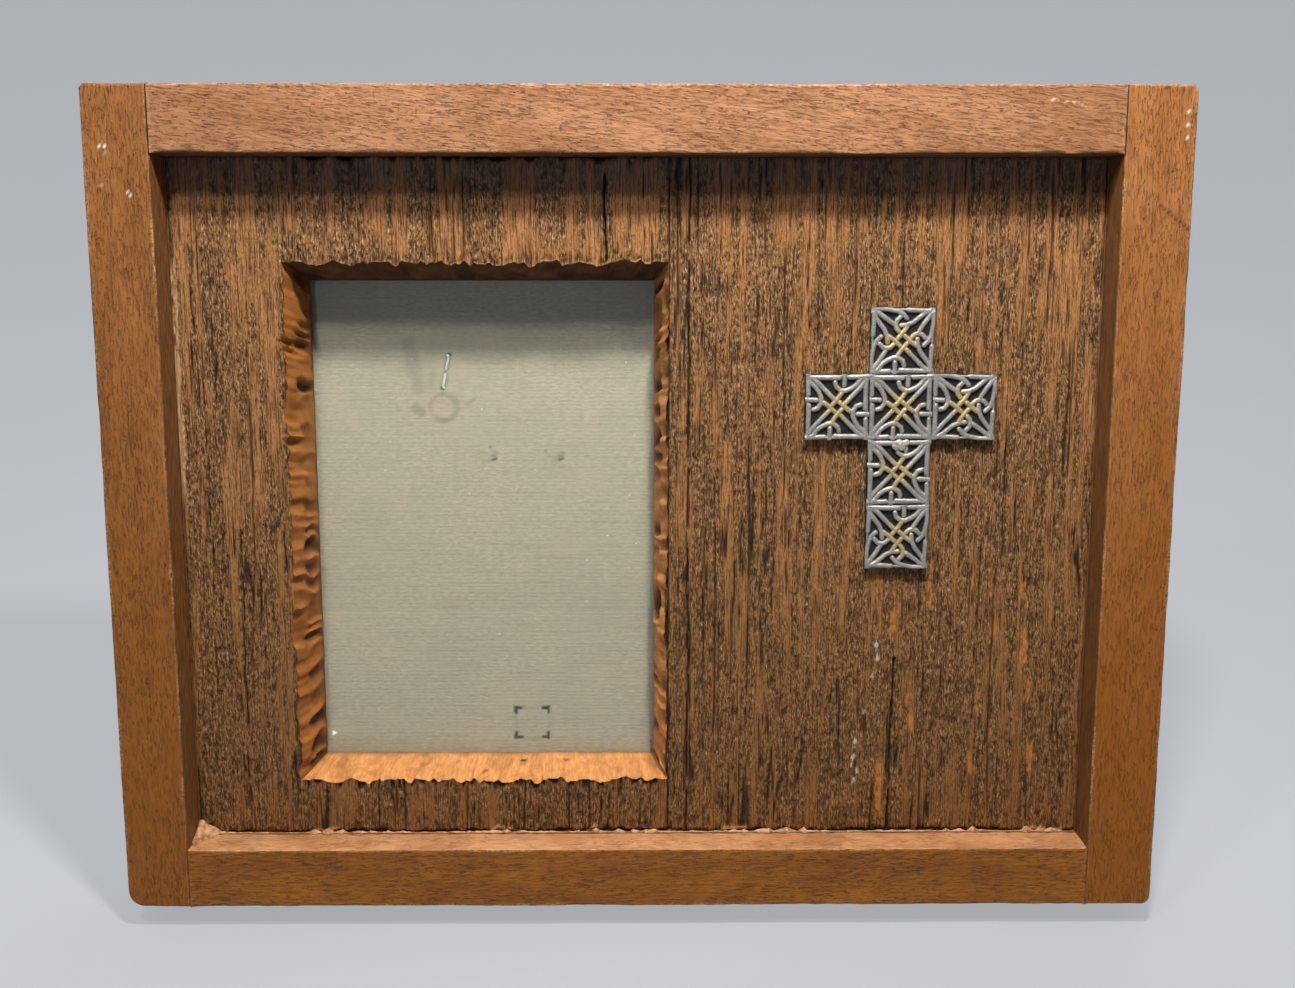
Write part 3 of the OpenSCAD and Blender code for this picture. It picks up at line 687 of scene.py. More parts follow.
def strip_marks(name, p, axis, top_side):
    """Wear, dirt and colour values of a strip's surface, with painted shade on the recess's walls, under the
    top rail and in its corners, painted light on the ledge and a painted highlight along the top edge.
    """
    low, high = span(name)
    x, y, z = np.moveaxis(p, -1, 0)
    side = abs(x)
    margin = np.sort(np.minimum(p - low, high - p), axis=-1)[..., 1]
    worn = smooth(EDGE_REACH, 0.2, margin + 0.6 * noise(21, x / 3, y / 3 + z / 3))
    worn = worn * (0.25 + 0.75 * smooth(-0.1, 0.6, noise(22, x / 14, z / 14)))
    outer = 0.9 * smooth(1.6, 0.3, HALF_WIDTH - side) * smooth(3, 0.5, y)
    outer = outer * smooth(-0.5, 0.3, noise(23, z / 9))
    # A painted highlight along the frame's top front edge, over the top rail and the right stile
    top_edge = 0.8 * smooth(1.1, 0.4, high[2] - z) * smooth(2.0, 0.8, y) * ("rail" in name or x > 0)
    wear = most(worn, outer, top_edge * (z > INNER_HIGH))
    at_rail = (z < INNER_LOW) | (z > INNER_HIGH)
    grime = smooth(0.42, 0.05, to_joint(x) + 0.15 * noise(24, z / 1.8, y / 3))
    grime = grime * at_rail * (0.9 - 0.5 * (z < INNER_LOW))
    recess = 1.0 * (y < PANEL_Y) * (side < RECESS_SIDE)
    # Painted shade on the stiles' inner walls and the top rail's underside in the recess, and painted light
    # on the ledge, which faces up
    inner = ledge = np.zeros_like(x)
    if axis == 0 and "stile" in name:
        inner = recess * ~at_rail
    if axis == 2 and name == "top_rail" and not top_side:
        inner = recess
    if axis == 2 and name == "bottom_rail" and top_side:
        ledge = recess
    # Painted shade where the recess's walls and ledge meet the panel
    corner = smooth(1.6, 0.2, PANEL_Y - y + 0.5 * noise(25, (x + z) / 2.3))
    scratch = most(*(smooth(0.6, 0.15, to_segment(x, z, *ends)) for ends in SCRATCHES)) * smooth(0.9, 0.2, y)
    on_stile = side > INNER_RIGHT
    dark = scratch * on_stile * (0.7 + 0.3 * np.sign(x))
    warm = np.zeros_like(x)
    if name in FOOT_TONES:
        amount, clear, full, seed = FOOT_TONES[name]
        warm = amount * smooth(clear, full, z + 25 * noise(seed, x / 12, z / 35))
    return {"wear": np.maximum(wear * 0.9, scratch * ~on_stile),
            "grime": most(grime, corner * np.maximum(inner, ledge), 0.8 * dark),
            "inner": inner * 0.95, "ledge": ledge * 0.9, "warm": warm,
            "chip": spots(CHIPS, x, z, 0.35 * noise(26, x / 0.7, z / 0.7), 0.5, 1.3) * smooth(1.5, 0.5, y)}


def strip(name, material, outer_corners=()):
    """One wooden strip with worn edges, round outer corners and slightly uneven faces."""
    low, high = span(name)
    along = 2 if "stile" in name else 0
    places = [spread(low[k], high[k], 1.0 if k == along else 0.8) for k in range(3)]
    shell = Shell()
    for axis, top_side in itertools.product(range(3), (False, True)):
        a, b = [k for k in range(3) if k != axis]
        flat = np.empty((len(places[a]), len(places[b]), 3))
        flat[..., a], flat[..., b] = np.meshgrid(places[a], places[b], indexing="ij")
        flat[..., axis] = high[axis] if top_side else low[axis]
        x, y, z = np.moveaxis(flat, -1, 0)
        radius = edge_radius(name, x, y, z)[..., None]
        heart = np.clip(flat, low + radius, high - radius)
        outward = unit(flat - heart)
        p = heart + radius * outward
        for way, reach in outer_corners:
            round_corner(p, low, high, way, reach)
        swell = 0.15 + 0.10 * noise(14, x / 11, y / 11, z / 11) + 0.05 * noise(15, x / 2.5, y / 2.5, z / 2.5)
        swell = swell * smooth(0.0, 1.5, to_joint(x))
        shell.sheet(p - outward * swell[..., None], **strip_marks(name, flat, axis, top_side))
    dress(shell.build(name + "_wood"), name, material)


# The two boards of the panel

# Two ends, half the width and the depth of each crack
CRACKS = (((-11.6, 247.0), (-11.2, 219.0), 0.45, 2.2), ((86.6, 21.5), (87.0, 83.0), 0.33, 1.6),
          ((16.0, 21.0), (16.2, 251.0), 0.28, 1.2), ((-136.0, 60.0), (-135.0, 128.0), 0.25, 0.8))
PAINT_SPECKS = ((81.1, 86.9, 0.75), (81.4, 84.2, 0.6), (79.9, 76.2, 0.35), (77.4, 63.7, 0.35),
                (74.5, 53.4, 0.5), (73.8, 48.1, 0.45), (75.2, 42.4, 0.55), (73.3, 44.9, 0.4),
                (74.3, 38.9, 0.45))
# Where the panel's grooves are closest together
GROOVED_X = 28
# Width, lower and upper end of the pale filler beside the left stile
FILLER_STRIP = (1.5, 139.0, 217.0)
# Middle, lower and upper end and half the width of each orange scar
ORANGE_PATCHES = ((131.8, 80.5, 93.0, 1.6), (130.8, 104.5, 110.0, 1.5), (121.5, 91.5, 96.5, 1.4),
                  (134.0, 66.5, 75.5, 0.9), (135.6, 42.0, 53.0, 1.3), (121.0, 50.5, 58.0, 0.8),
                  (114.7, 41.5, 49.0, 0.8), (116.4, 64.0, 70.0, 0.8), (92.2, 66.5, 74.0, 0.9),
                  (93.8, 57.0, 64.0, 1.3), (98.9, 101.5, 117.0, 0.9), (119.8, 105.0, 117.0, 0.8),
                  (86.6, 91.0, 100.0, 1.5), (83.2, 26.0, 46.0, 1.7))


def sawn(x, z, seed):
    """Points of a board's rough-sawn face, with the values for its material."""
    def wave(number, *axes):
        return noise(seed + number, *axes)

    u = x + 0.9 * wave(0, x / 40, z / 95) + 0.3 * wave(1, x / 5, z / 15)
    band = wave(2, u / 2.1, z / 34) + 0.35 * wave(8, u / 10, z / 30) + 0.3 * wave(25, u / 1.6, z / 5)
    rough = smooth(0.42, -0.25, band - 0.3 * smooth(115, 30, z))
    runs = smooth(-0.05, 0.4, wave(5, u / 4, z / 26) + 0.5 * smooth(45, 15, abs(x - GROOVED_X)))
    groove = smooth(0.10, 0.02, abs(wave(4, u / 1.3, z / 75))) * runs
    pits = smooth(0.12, 0.5, wave(6, u / 0.8, z / 1.7)) * (0.3 + 0.7 * rough)
    lumps = wave(18, u / 1.0, z / 1.3) * rough
    depth = 0.3 + 0.12 * rough + 0.16 * wave(3, u / 0.95, z / 20) * (0.4 + 0.6 * rough)
    depth = depth + 0.6 * groove + 0.36 * pits + 0.13 * lumps + 0.1 * wave(7, u / 13, z / 50)
    dark = np.maximum(0.9 * groove, 0.5 * pits)

    wobble = 0.3 * wave(9, 0, z / 6) + 0.1 * wave(10, 0, z / 1.3)
    broken = 0.55 + 0.45 * smooth(-0.5, 0.1, wave(19, 0, z / 9))
    for start, end, half, deep in CRACKS:
        near = smooth(half * 1.6, half * 0.5, to_segment(x + wobble, z, start, end) / broken)
        depth = depth + deep * near
        dark = np.maximum(dark, near)

    # Fibres torn out above and below the window
    length = 3.4 + 3.0 * wave(12, u / 1.7)
    below = smooth(length, length * 0.4, FRONT_LOW[1] - z) * (z < FRONT_LOW[1])
    above = smooth(length * 0.8, length * 0.3, z - FRONT_HIGH[1]) * (z > FRONT_HIGH[1])
    beside = smooth(FRONT_LOW[0] - 1, FRONT_LOW[0] + 1, x) * (x <= JOINT_X)
    torn = smooth(0.0, 0.35, wave(11, u / 0.9)) * np.maximum(below, 0.6 * above) * beside

    # Painted shade along the panel's edges beside the strips and in the gap above the ledge, and a dark
    # joint between the boards
    rim = np.minimum(np.minimum(x - INNER_LEFT, INNER_RIGHT - x), INNER_HIGH - z)
    edge = smooth(0.9, 0.1, rim + 0.3 * wave(13, (x + z) / 4))
    gap = smooth(0.95, 0.35, z - INNER_LOW + 0.35 * wave(20, x / 2.5))
    seam = smooth(0.6, 0.12, abs(x - JOINT_X) + 0.12 * wave(14, 0, z / 4))
    dark = most(dark, 0.85 * torn, edge * 0.6, gap * 0.95, seam * 0.85)
    depth = depth + 0.9 * torn + 0.25 * edge + 0.8 * gap + 0.6 * seam

    width, low, high = FILLER_STRIP
    width = width + 0.6 * wave(16, 0, z / 4.5) + 0.9 * wave(21, 0, z / 17)
    filler = smooth(width, width - 0.5, x - INNER_LEFT)
    filler = filler * smooth(low - 6, low + 6, z) * smooth(high + 3, high - 3, z)
    smear = 1.2 + 1.6 * wave(22, x / 5) + 0.5 * wave(23, x / 1.2)
    smeared = smooth(smear, smear - 0.5, z - INNER_LOW) * smooth(0.0, 0.3, wave(24, x / 11))
    filler = np.maximum(filler, smeared)

    ragged = 0.5 * wave(17, x / 1.5, z / 4)
    warm = most(*(smooth(half, half * 0.4, abs(x - middle_x) + ragged)
                  * smooth(low - 1.5, low + 1.5, z) * smooth(high + 1.5, high - 1.5, z)
                  for middle_x, low, high, half in ORANGE_PATCHES))
    marks = {"groove": np.clip(dark * (1 - filler), 0, 1), "rough": rough * (1 - 0.8 * warm),
             "streak": smooth(0.15, 0.55, band) * (0.35 + 0.65 * smooth(30, 130, z)),
             "chip": 0.75 * spots(PAINT_SPECKS, x, z, 0.35 * wave(15, x / 0.6, z / 0.9), 0.6, 1 / 3.2),
             "filler": filler, "warm": warm * 0.85}
    return np.stack([x, PANEL_Y + np.maximum(depth - 0.3 * filler, 0.0), z], -1), marks


def bite_out(seed, s, pitch):
    """Depth of one row of chisel scoops along an edge, 0 at the ridges between them."""
    place = s / pitch + 0.75 * noise(seed, s / pitch / 1.4)
    number = np.floor(place)
    part = place - number
    depth = 0.5 + 0.5 * scramble((number.astype(np.int64) + 50) * 7321 + seed * 977)
    return (4 * part * (1 - part)) ** 1.15 * (0.12 + 0.88 * depth ** 1.4)


def scoops(seed, s, t, pitch, reach=0.5):
    """Depth of a wall's chisel scoops: the row that breaks its front edge, and one behind it."""
    total = 0.0
    for own, row_t, shift in ((seed, 0.0, 0.0), (seed + 101, 0.64, 0.45)):
        bent = s + 1.5 * noise(own + 7, s / 9, t * 3) * np.minimum(t * 4, 1)
        row = bite_out(own, bent + shift * pitch, pitch)
        total = np.maximum(total, row * smooth(reach, reach * 0.15, abs(t - row_t)))
    return total


def window_shift(x, z):
    """Moves the left board's front face outward round the window, where the chisel broke its edge."""
    (x0, z0), (x1, z1) = FRONT_LOW, FRONT_HIGH
    inside_z = smooth(z0, z0 + 3, z) * smooth(z1, z1 - 3, z)
    inside_x = smooth(x0, x0 + 3, x) * smooth(x1 - 0.5, x1 - 4, x)
    torn = 0.8 * smooth(0.2, 0.6, noise(39, x / 4))
    left = (1.3 * bite_out(31, z, 7.0) + 0.4 * noise(32, z / 1.5) - 0.2) * inside_z * smooth(x0 - 6, x0, x)
    top = (0.5 * bite_out(33, x, 9.0) + 0.25 * noise(34, x / 1.6)) * inside_x * smooth(z1 + 6, z1, z)
    low = (1.0 * bite_out(35, x, 7.5) + 0.6 * noise(36, x / 1.6) + torn) * inside_x * smooth(z0 - 6, z0, z)
    return x - left, z + top - low


# Seed, pitch and bulge of the scoops on each wall of the window, its painted shade all over and in
# its hollows, its warm tint of painted shade and its pale tint of painted light
WALLS = {"left": (31, 7.0, 1.7, 0.4, 0.55, 0.7, 0.0), "right": (37, 7.2, 1.7, 0.0, 0.95, 0.1, 0.2),
         "top": (33, 9.0, 0.6, 0.9, 0.2, 0.3, 0.0), "low": (35, 7.5, 0.7, 0.05, 0.2, 0.0, 0.1)}
WALL_ROWS = 27
# Place along the lower wall and depth of each nick that the chisel left in it
NICKS = ((-55.2, 0.3), (-41.3, 0.7), (-24.9, 0.7))


def window_wall(shell, side, edge, s):
    """A chiselled wall from the front face's edge to the rebate. Gives its last row of points."""
    seed, pitch, bulge, shade, hollow, warm_shade, pale_light = WALLS[side]
    facing = 0 if side in ("left", "right") else 2
    inward = 1.0 if side in ("left", "low") else -1.0
    k = 1 - facing // 2
    ends = np.empty_like(edge)
    ends[:, 1] = REBATE_Y
    ends[:, facing] = (WINDOW_LOW if inward > 0 else WINDOW_HIGH)[1 - k]
    ends[:, 2 - facing] = np.interp(s, (FRONT_LOW[k], FRONT_HIGH[k]), (WINDOW_LOW[k], WINDOW_HIGH[k]))
    t = np.linspace(0, 1, WALL_ROWS)[:, None]
    grid = edge * (1 - t[..., None]) + ends * t[..., None]
    cut = scoops(seed, s, t, pitch)
    lumps = noise(seed + 9, s / 3.2, t * 3.2)
    fade = smooth(0, 4, s - s[0]) * smooth(0, 4, s[-1] - s)
    hull = np.sin(np.pi * np.clip(t, 0.02, 0.98)) ** 0.7
    push = bulge * (0.95 - 2.1 * cut + 0.32 * lumps) + 0.1 * noise(seed + 6, s / 1.7, t * 6)
    grid[..., facing] += inward * push * hull * fade
    # Painted shade: darker on a shaded wall, in the scoops' hollows and by the glass, a little lighter on
    # the lumps; the sill's nicks are dark too
    deepest = smooth(0.1, 0.55, t) if side != "right" else 0.35 + 0.65 * smooth(0.0, 0.4, t)
    facet = shade + hollow * smooth(0.1, 0.7, cut) * deepest + 0.3 * smooth(0.8, 1.0, t) - 0.12 * lumps
    if side == "low":
        ragged = 0.3 * noise(61, s, t * 20)
        nicks = [np.hypot((s - at) / 1.8, (t - depth) * 22 / 1.2) for at, depth in NICKS]
        facet = facet + 0.8 * most(*(smooth(1.0, 0.4, far + ragged) for far in nicks))
    # A warm tint of painted shade, a pale tint of painted light, and near-black painted shade by the glass
    shell.sheet(grid, cut=1.0, facet=np.clip(facet, 0, 1), warm=warm_shade, streak=pale_light,
                groove=0.5 * smooth(0.9, 1.0, t) + 0 * push)
    return grid[-1]


def corners(xs, y, zs):
    """The corners of an upright rectangle by l or r for its sides and l or h for its height."""
    return {a + b: (x, y, z) for a, x in zip("lr", xs) for b, z in zip("lh", zs)}


def left_board(material):
    """The left board: front face in three sheets round the window, chiselled walls and a rebate."""
    fine_x, fine_z = 0.4, 0.66
    x_left = steps(INNER_LEFT, FRONT_LOW[0], fine_x)
    x_mid = steps(FRONT_LOW[0], JOINT_X, fine_x)
    z_low = steps(INNER_LOW, FRONT_LOW[1], fine_z)
    z_mid = steps(FRONT_LOW[1], FRONT_HIGH[1], fine_z)
    z_top = steps(FRONT_HIGH[1], INNER_HIGH, fine_z)
    x_all = np.concatenate([x_left, x_mid[1:]])
    z_all = np.concatenate([z_low, z_mid[1:], z_top[1:]])

    def front(x, z):
        grid_x, grid_z = np.meshgrid(x, z)
        points, marks = sawn(grid_x, grid_z, seed=41)
        points[..., 0], points[..., 2] = window_shift(grid_x, grid_z)
        return points, marks

    def line(x, z):
        return front(x, z)[0].reshape(-1, 3)

    shell = Shell()
    for x, z in ((x_left, z_all), (x_mid, z_top), (x_mid, z_low)):
        points, marks = front(x, z)
        shell.sheet(points, **marks)

    rebate = (GLASS_LOW[0] - REBATE_GAP, JOINT_X), (GLASS_LOW[2] - REBATE_GAP, GLASS_HIGH[2] + REBATE_GAP)
    rim = corners(rebate[0], REBATE_Y, rebate[1])
    deep = corners(rebate[0], BACK_Y, rebate[1])
    ends = corners((INNER_LEFT, JOINT_X), BACK_Y, (INNER_LOW, INNER_HIGH))
    sides = {"left": (x_mid[:1], z_mid, "ll", "lh"), "right": (x_mid[-1:], z_mid, "rl", "rh"),
             "top": (x_mid, z_mid[-1:], "lh", "rh"), "low": (x_mid, z_mid[:1], "ll", "rl")}
    rows = {side: window_wall(shell, side, line(x, z), x if len(x) > 1 else z)
            for side, (x, z, _, _) in sides.items()}
    for side in ("left", "right", "low", "top"):
        _, _, first, second = sides[side]
        shell.face(rows[side], rim[second], rim[first])
    for first, second in (("ll", "lh"), ("ll", "rl"), ("lh", "rh")):
        shell.face(rim[first], rim[second], deep[second], deep[first])
    shell.face(line(x_all[:1], z_all), ends["lh"], ends["ll"])
    shell.face(line(x_all, z_all[-1:]), ends["rh"], ends["lh"])
    shell.face(line(x_all, z_all[:1]), ends["rl"], ends["ll"])
    shell.face(line(x_all[-1:], z_all), ends["rh"], deep["rh"], rim["rh"], rim["rl"], deep["rl"], ends["rl"])
    shell.face(ends["ll"], ends["rl"], deep["rl"], deep["ll"],
               deep["lh"], deep["rh"], ends["rh"], ends["lh"])
    dress(shell.build("left_board_sawn", crease=50), "left_board", material)


def right_board(material):
    shell = Shell()
    x, z = np.meshgrid(steps(JOINT_X, INNER_RIGHT, 0.47), steps(INNER_LOW, INNER_HIGH, 0.77))
    points, marks = sawn(x, z, seed=71)
    shell.sheet(points, **marks)
    shell.close_behind(BACK_Y)
    dress(shell.build("right_board_sawn", crease=50), "right_board", material)


def glue_bead(material):
    """A ragged bead of glue and filler where the panel meets the ledge, with a lump at its left end."""
    low, high = span("glue_bead")
    start = INNER_LEFT + 0.1
    x = steps(start, high[0], 0.4)
    size = 0.85 + 0.75 * noise(81, x / 2.6) + 0.35 * noise(82, x / 0.9)
    size = np.clip(size * (0.3 + 0.7 * smooth(-0.3, 0.35, noise(83, x / 14))), 0.1, 1.85)
    size = size * smooth(0, 1.2, high[0] - x) + 0.02
    lump = smooth(12.0, 0.0, x - start + 0.9 * noise(85, x / 1.7))
    turn = np.linspace(0, np.pi / 2, 15)[:, None]
    ripple = 1.0 + 0.12 * noise(86, x / 1.5, turn * 3)
    hollow = 1 + 0.9 * lump
    rise = (size * (1.05 + 0.3 * noise(84, x / 1.3)) + 4.4 * lump ** 1.5 * ripple) * np.sin(turn) ** hollow
    reach = (size * 0.95 + 10.0 * lump ** 2.2 * ripple) * np.cos(turn) ** hollow
    rise = np.minimum(rise, (high[2] - low[2]) * (1 + 1.8 * lump))
    grid = np.stack([x + 0 * turn, high[1] - reach, low[2] + rise], -1)
    grid = np.concatenate([grid, np.stack([x, 0 * x + high[1], 0 * x + low[2]], -1)[None], grid[:1]])
    shell = Shell()
    shell.sheet(grid)
    for end in (0, -1):
        shell.face(grid[:-1, end])
    dress(shell.build("glue_bead_ragged", crease=60), "glue_bead", material)


# The cast cross

TILE_W, TILE_H = 21.1, 21.9
TILES = ((0, 0), (-1, 1), (0, 1), (1, 1), (0, 2), (0, 3))
RECESS = 1.35
STRAND = 0.047
RIM, RIM_HALF = 0.469, 0.026

# Strands beside a tile's upper edge, as shares of a tile from its middle. The other edges have the
# same ones turned by quarters. There are two kinds of edge, and both have the first strand.
WEAVE = (((0.04, 0.07), (0.13, -0.01), (0.215, -0.068)),)
PLAIN_SIDE = WEAVE + (
    ((-0.459, 0.452), (0.024, 0.442)), ((0.191, 0.455), (0.483, 0.467)), ((0.112, 0.496), (0.106, 0.327)),
    ((-0.037, 0.371), (-0.018, 0.305), (0.057, 0.253), (0.132, 0.249), (0.229, 0.29), (0.303, 0.342),
     (0.371, 0.43), (0.483, 0.474)),
    ((-0.407, 0.445), (-0.302, 0.364), (-0.063, 0.131)))
OUTER_SIDE = WEAVE + (
    ((-0.435, 0.486), (-0.247, 0.479), (-0.089, 0.449), (0.004, 0.404), (0.062, 0.338)),
    ((0.083, 0.464), (0.256, 0.455), (0.42, 0.45)),
    ((-0.06, 0.145), (-0.1, 0.19), (-0.111, 0.241), (-0.096, 0.308), (-0.043, 0.356)),
    ((-0.42, 0.45), (-0.29, 0.353), (-0.15, 0.26)),
    ((-0.024, 0.234), (0.069, 0.241), (0.17, 0.286), (0.34, 0.42), (0.43, 0.46)))
# Quarter turns of the outer kind, counted clockwise from the upper edge, for each tile that has any
OUTER_EDGES = {(0, 0): (0, 1, 3), (1, 1): (0, 1, 2), (0, 3): (1, 2, 3)}


def rounded(share):
    """Height of a half-round bar at a share of its half width from its middle."""
    return np.sqrt(np.clip(1 - share * share, 0, 1))


def tile_relief(p, q, tile):
    """Height of the strands on a tile, from 0 in the recesses to 1."""
    height = np.zeros_like(p)
    a, b = p, q
    for quarter in range(4):
        kind = OUTER_SIDE if quarter in OUTER_EDGES.get(tile, ()) else PLAIN_SIDE
        for strand in kind:
            for first, second in zip(strand, strand[1:]):
                height = np.maximum(height, rounded(to_segment(a, b, first, second) / STRAND))
        a, b = -b, a
    rim = 0.85 * rounded((np.maximum(abs(p), abs(q)) - RIM) / RIM_HALF)
    corner = 0.7 * smooth(0.10, 0.05, np.hypot(abs(p) - 0.47, abs(q) - 0.47))
    return most(height, rim, corner)


def cross(material):
    low, high = span("cross_casting")
    centre = middle("cross_casting")[0]
    p, q = np.meshgrid(*[steps(-0.5, 0.5, 0.0095)] * 2)
    shell = Shell()
    for across, down in TILES:
        x = centre + (across + p) * TILE_W
        z = high[2] - (down + 0.5 - q) * TILE_H
        grit = 0.06 * noise(91, x / 0.45, z / 0.45) + 0.08 * noise(92, x / 1.6, z / 1.6)
        height = tile_relief(p, q, (across, down)) * (0.86 + 0.14 * noise(93, x / 3, z / 3))
        raised = np.clip(height + 0.3 * grit, 0, 1)
        dome = 0.12 * smooth(0.45, 0.1, np.hypot(p, q))
        y = low[1] + RECESS - raised * (RECESS - 0.15) - dome - 0.05 * grit
        gold = 0.75 * smooth(0.34, 0.14, np.hypot(p, q) + 0.09 * noise(94, x / 2.2, z / 2.2))
        shell.sheet(np.stack([x, np.maximum(y, low[1]), z], -1), height=raised, gold=gold)
    weld_tiles(shell)
    shell.close_behind(high[1], height=0.3)
    dress(shell.build("cross_cast", crease=60), "cross_casting", material)


def weld_tiles(shell):
    """Gives neighbouring sheets of a shell the same corners along their shared edges."""
    points = np.vstack(shell.points)
    first, same = same_places(points[:, [0, 2]], 200)
    shell.points = [points[first][same]]
    shell.faces = [first[same[face]].tolist() for face in shell.faces]


BRAD_SIZE = (2.35, 0.98, 2.05)
# Direction in x and z, reach and width of the lobes of the brad's lump
BRAD_LOBES = ((-0.72, -0.5, 0.3, 0.4), (0.5, -0.7, 0.3, 0.3), (1.0, 0.3, 0.62, 0.22))


def brad_blob(material):
    """The lump of metal over the cross's pin: a low dome with two lobes below and a tail."""
    centre = middle("cross_pin")
    centre[1] = span("cross_pin")[0][1] + 1.0
    work = bmesh.new()
    bmesh.ops.create_icosphere(work, subdivisions=5, radius=1.0)
    ball = np.array([vert.co[:] for vert in work.verts])
    reach = 0.82 + 0.08 * noise(95, *(ball.T * 2.3))
    for x, z, extra, width in BRAD_LOBES:
        way = np.array([x, 0.0, z]) / math.hypot(x, z)
        reach = reach + extra * smooth(1 - width, 1.0, ball @ way)
    moved = ball * reach[:, None] * BRAD_SIZE
    moved[:, 1] = np.maximum(moved[:, 1], -BRAD_SIZE[1])
    for vert, place in zip(work.verts, to_world(moved + centre)):
        vert.co = Vector(place)
    mesh = bpy.data.meshes.new("cross_pin_blob")
    work.to_mesh(mesh)
    work.free()
    dress(stand("cross_pin_blob", mesh, crease=60), "cross_pin", material)


# Behind the glass

PAPER_DEEPEST = span("backing_paper")[1][1] + 0.02
RIB_PITCH = 1.3
DIMPLES = ((-53.5, 151.6, (0.9, 1.8)), (-30.0, 151.6, (-3.2, 0.4)))
DIMPLE_SIZE = 3.3
PRONG_SQUARE = (-45.1, 47.0, -33.2, 58.4)
STAPLE_TOP, STAPLE_LOW = (-66.5, 185.7), (-68.8, 174.2)
RING_MARK = (-68.6, 167.5, 4.6)
SMUDGES = (((-80.5, 190.0), (-77.5, 174.0), 3.5, 0.4), ((-78.6, 167.0), (-77.0, 165.4), 2.6, 0.5),
           ((-72.4, 178.0), (-72.9, 174.5), 2.4, 0.3), ((-60.2, 168.4), (-57.9, 170.4), 1.2, 0.4))
PAPER_SPECK = (-111.2, 49.1, 0.9)


def backing_paper(material):
    """Ribbed paper with the marks that the fittings behind it press into it, and painted shadows on the
    dimples' low sides.
    """
    low, high = span("backing_paper")
    x, z = np.meshgrid(steps(low[0], high[0], 0.72), steps(low[2], high[2], 0.34))
    rib = 0.5 + 0.5 * np.sin((z + 0.5 * noise(101, x / 40, z / 9)) * 2 * np.pi / RIB_PITCH)
    depth = 0.045 * rib + 0.05 + 0.04 * noise(102, x / 25, z / 25) + 0.012 * noise(103, x / 3, z / 0.9)
    holes, smudges_and_shadows = [], []
    for cx, cz, (dot_x, dot_z) in DIMPLES:
        dx, dz = x - cx, z - cz
        far = np.hypot(dx, dz) + 0.35 * noise(108, x / 1.6, z / 1.6) - DIMPLE_SIZE
        low_side = smooth(1.4, -1.2, dz)
        depth = depth + 0.2 * smooth(0, -1.2, far) * (0.3 + 0.7 * low_side)
        depth = depth - 0.05 * smooth(1.0, 0.2, abs(far - 0.7)) * low_side
        # Painted shadow along the low side of each dimple and in a spot at its lower right
        smudges_and_shadows.append(0.45 * smooth(1.5, 0.1, abs(far + 0.5)) * low_side)
        smudges_and_shadows.append(0.75 * smooth(1.7, 0.3, np.hypot(dx - 1.9, dz + 1.5)))
        nick = to_segment(dx, dz, (1.5, -2.7), (2.9, -2.2)) + 0.15 * noise(109, x, z)
        holes.append(0.8 * smooth(0.6, 0.2, nick))
        holes.append(0.6 * smooth(0.75, 0.3, np.hypot(dx - dot_x, dz - dot_z)))

    x0, z0, x1, z1 = PRONG_SQUARE
    for (cx, sx), (cz, sz) in itertools.product(((x0, 1), (x1, -1)), ((z0, 1), (z1, -1))):
        arms = [to_segment(x, z, (cx, cz), (cx + sx * long, cz + sz * tall))
                for long, tall in ((2.0, 0.3), (0.2, 2.0))]
        holes.append(smooth(0.75, 0.35, np.minimum(*arms) + 0.2 * noise(104, x, z)))
        depth = depth + 0.2 * holes[-1]
    upright_edge = np.minimum(abs(x - x0), abs(x - x1)) + 50.0 * ((z < z0) | (z > z1))
    level_edge = np.minimum(abs(z - z0), abs(z - z1)) + 50.0 * ((x < x0) | (x > x1))
    border = np.minimum(upright_edge, level_edge) + 0.35 * noise(111, x / 2.5, z / 2.5)
    smudges_and_shadows.append(0.25 * smooth(0.8, 0.2, border))

    staple = to_segment(x, z, STAPLE_TOP, STAPLE_LOW)
    depth = depth + 0.28 * smooth(1.0, 0.3, staple)
    smudges_and_shadows.append(0.6 * smooth(1.3, 0.6, staple))
    holes += [smooth(1.0, 0.5, np.hypot(x - cx, z - cz)) for cx, cz in (STAPLE_TOP, STAPLE_LOW)]
    rx, rz, size = RING_MARK
    ring = abs(np.hypot(x - rx, z - rz) - size) + 0.5 * noise(105, x / 5, z / 5)
    smudges_and_shadows.append((0.45 + 0.3 * noise(110, x / 3, z / 3)) * smooth(1.5, 0.2, ring))
    for a, b, size, amount in SMUDGES:
        far = to_segment(x, z, a, b) + 0.3 * size * noise(106, x / 3, z / 3)
        smudges_and_shadows.append(amount * smooth(size, 0.2 * size, far))

    shell = Shell()
    shell.sheet(np.stack([x, low[1] + np.clip(depth, 0.01, 0.36), z], -1), hole=np.clip(most(*holes), 0, 1),
                smudge=most(*smudges_and_shadows), chip=spots((PAPER_SPECK,), x, z, 0.3 * noise(107, x, z), 0.5))
    shell.close_behind(high[1])
    dress(shell.build("backing_paper_ribbed", crease=70), "backing_paper", material)


def resample(path, step):
    """A path's points at even steps, with its corners rounded a little."""
    path = np.asarray(path, float)
    at = travelled(path)
    even = np.linspace(0, at[-1], max(4, int(at[-1] / step)))
    dense = np.stack([np.interp(even, at, path[:, k]) for k in range(3)], 1)
    for _ in range(2):
        dense[1:-1] = (dense[:-2] + 2 * dense[1:-1] + dense[2:]) / 4
    return dense


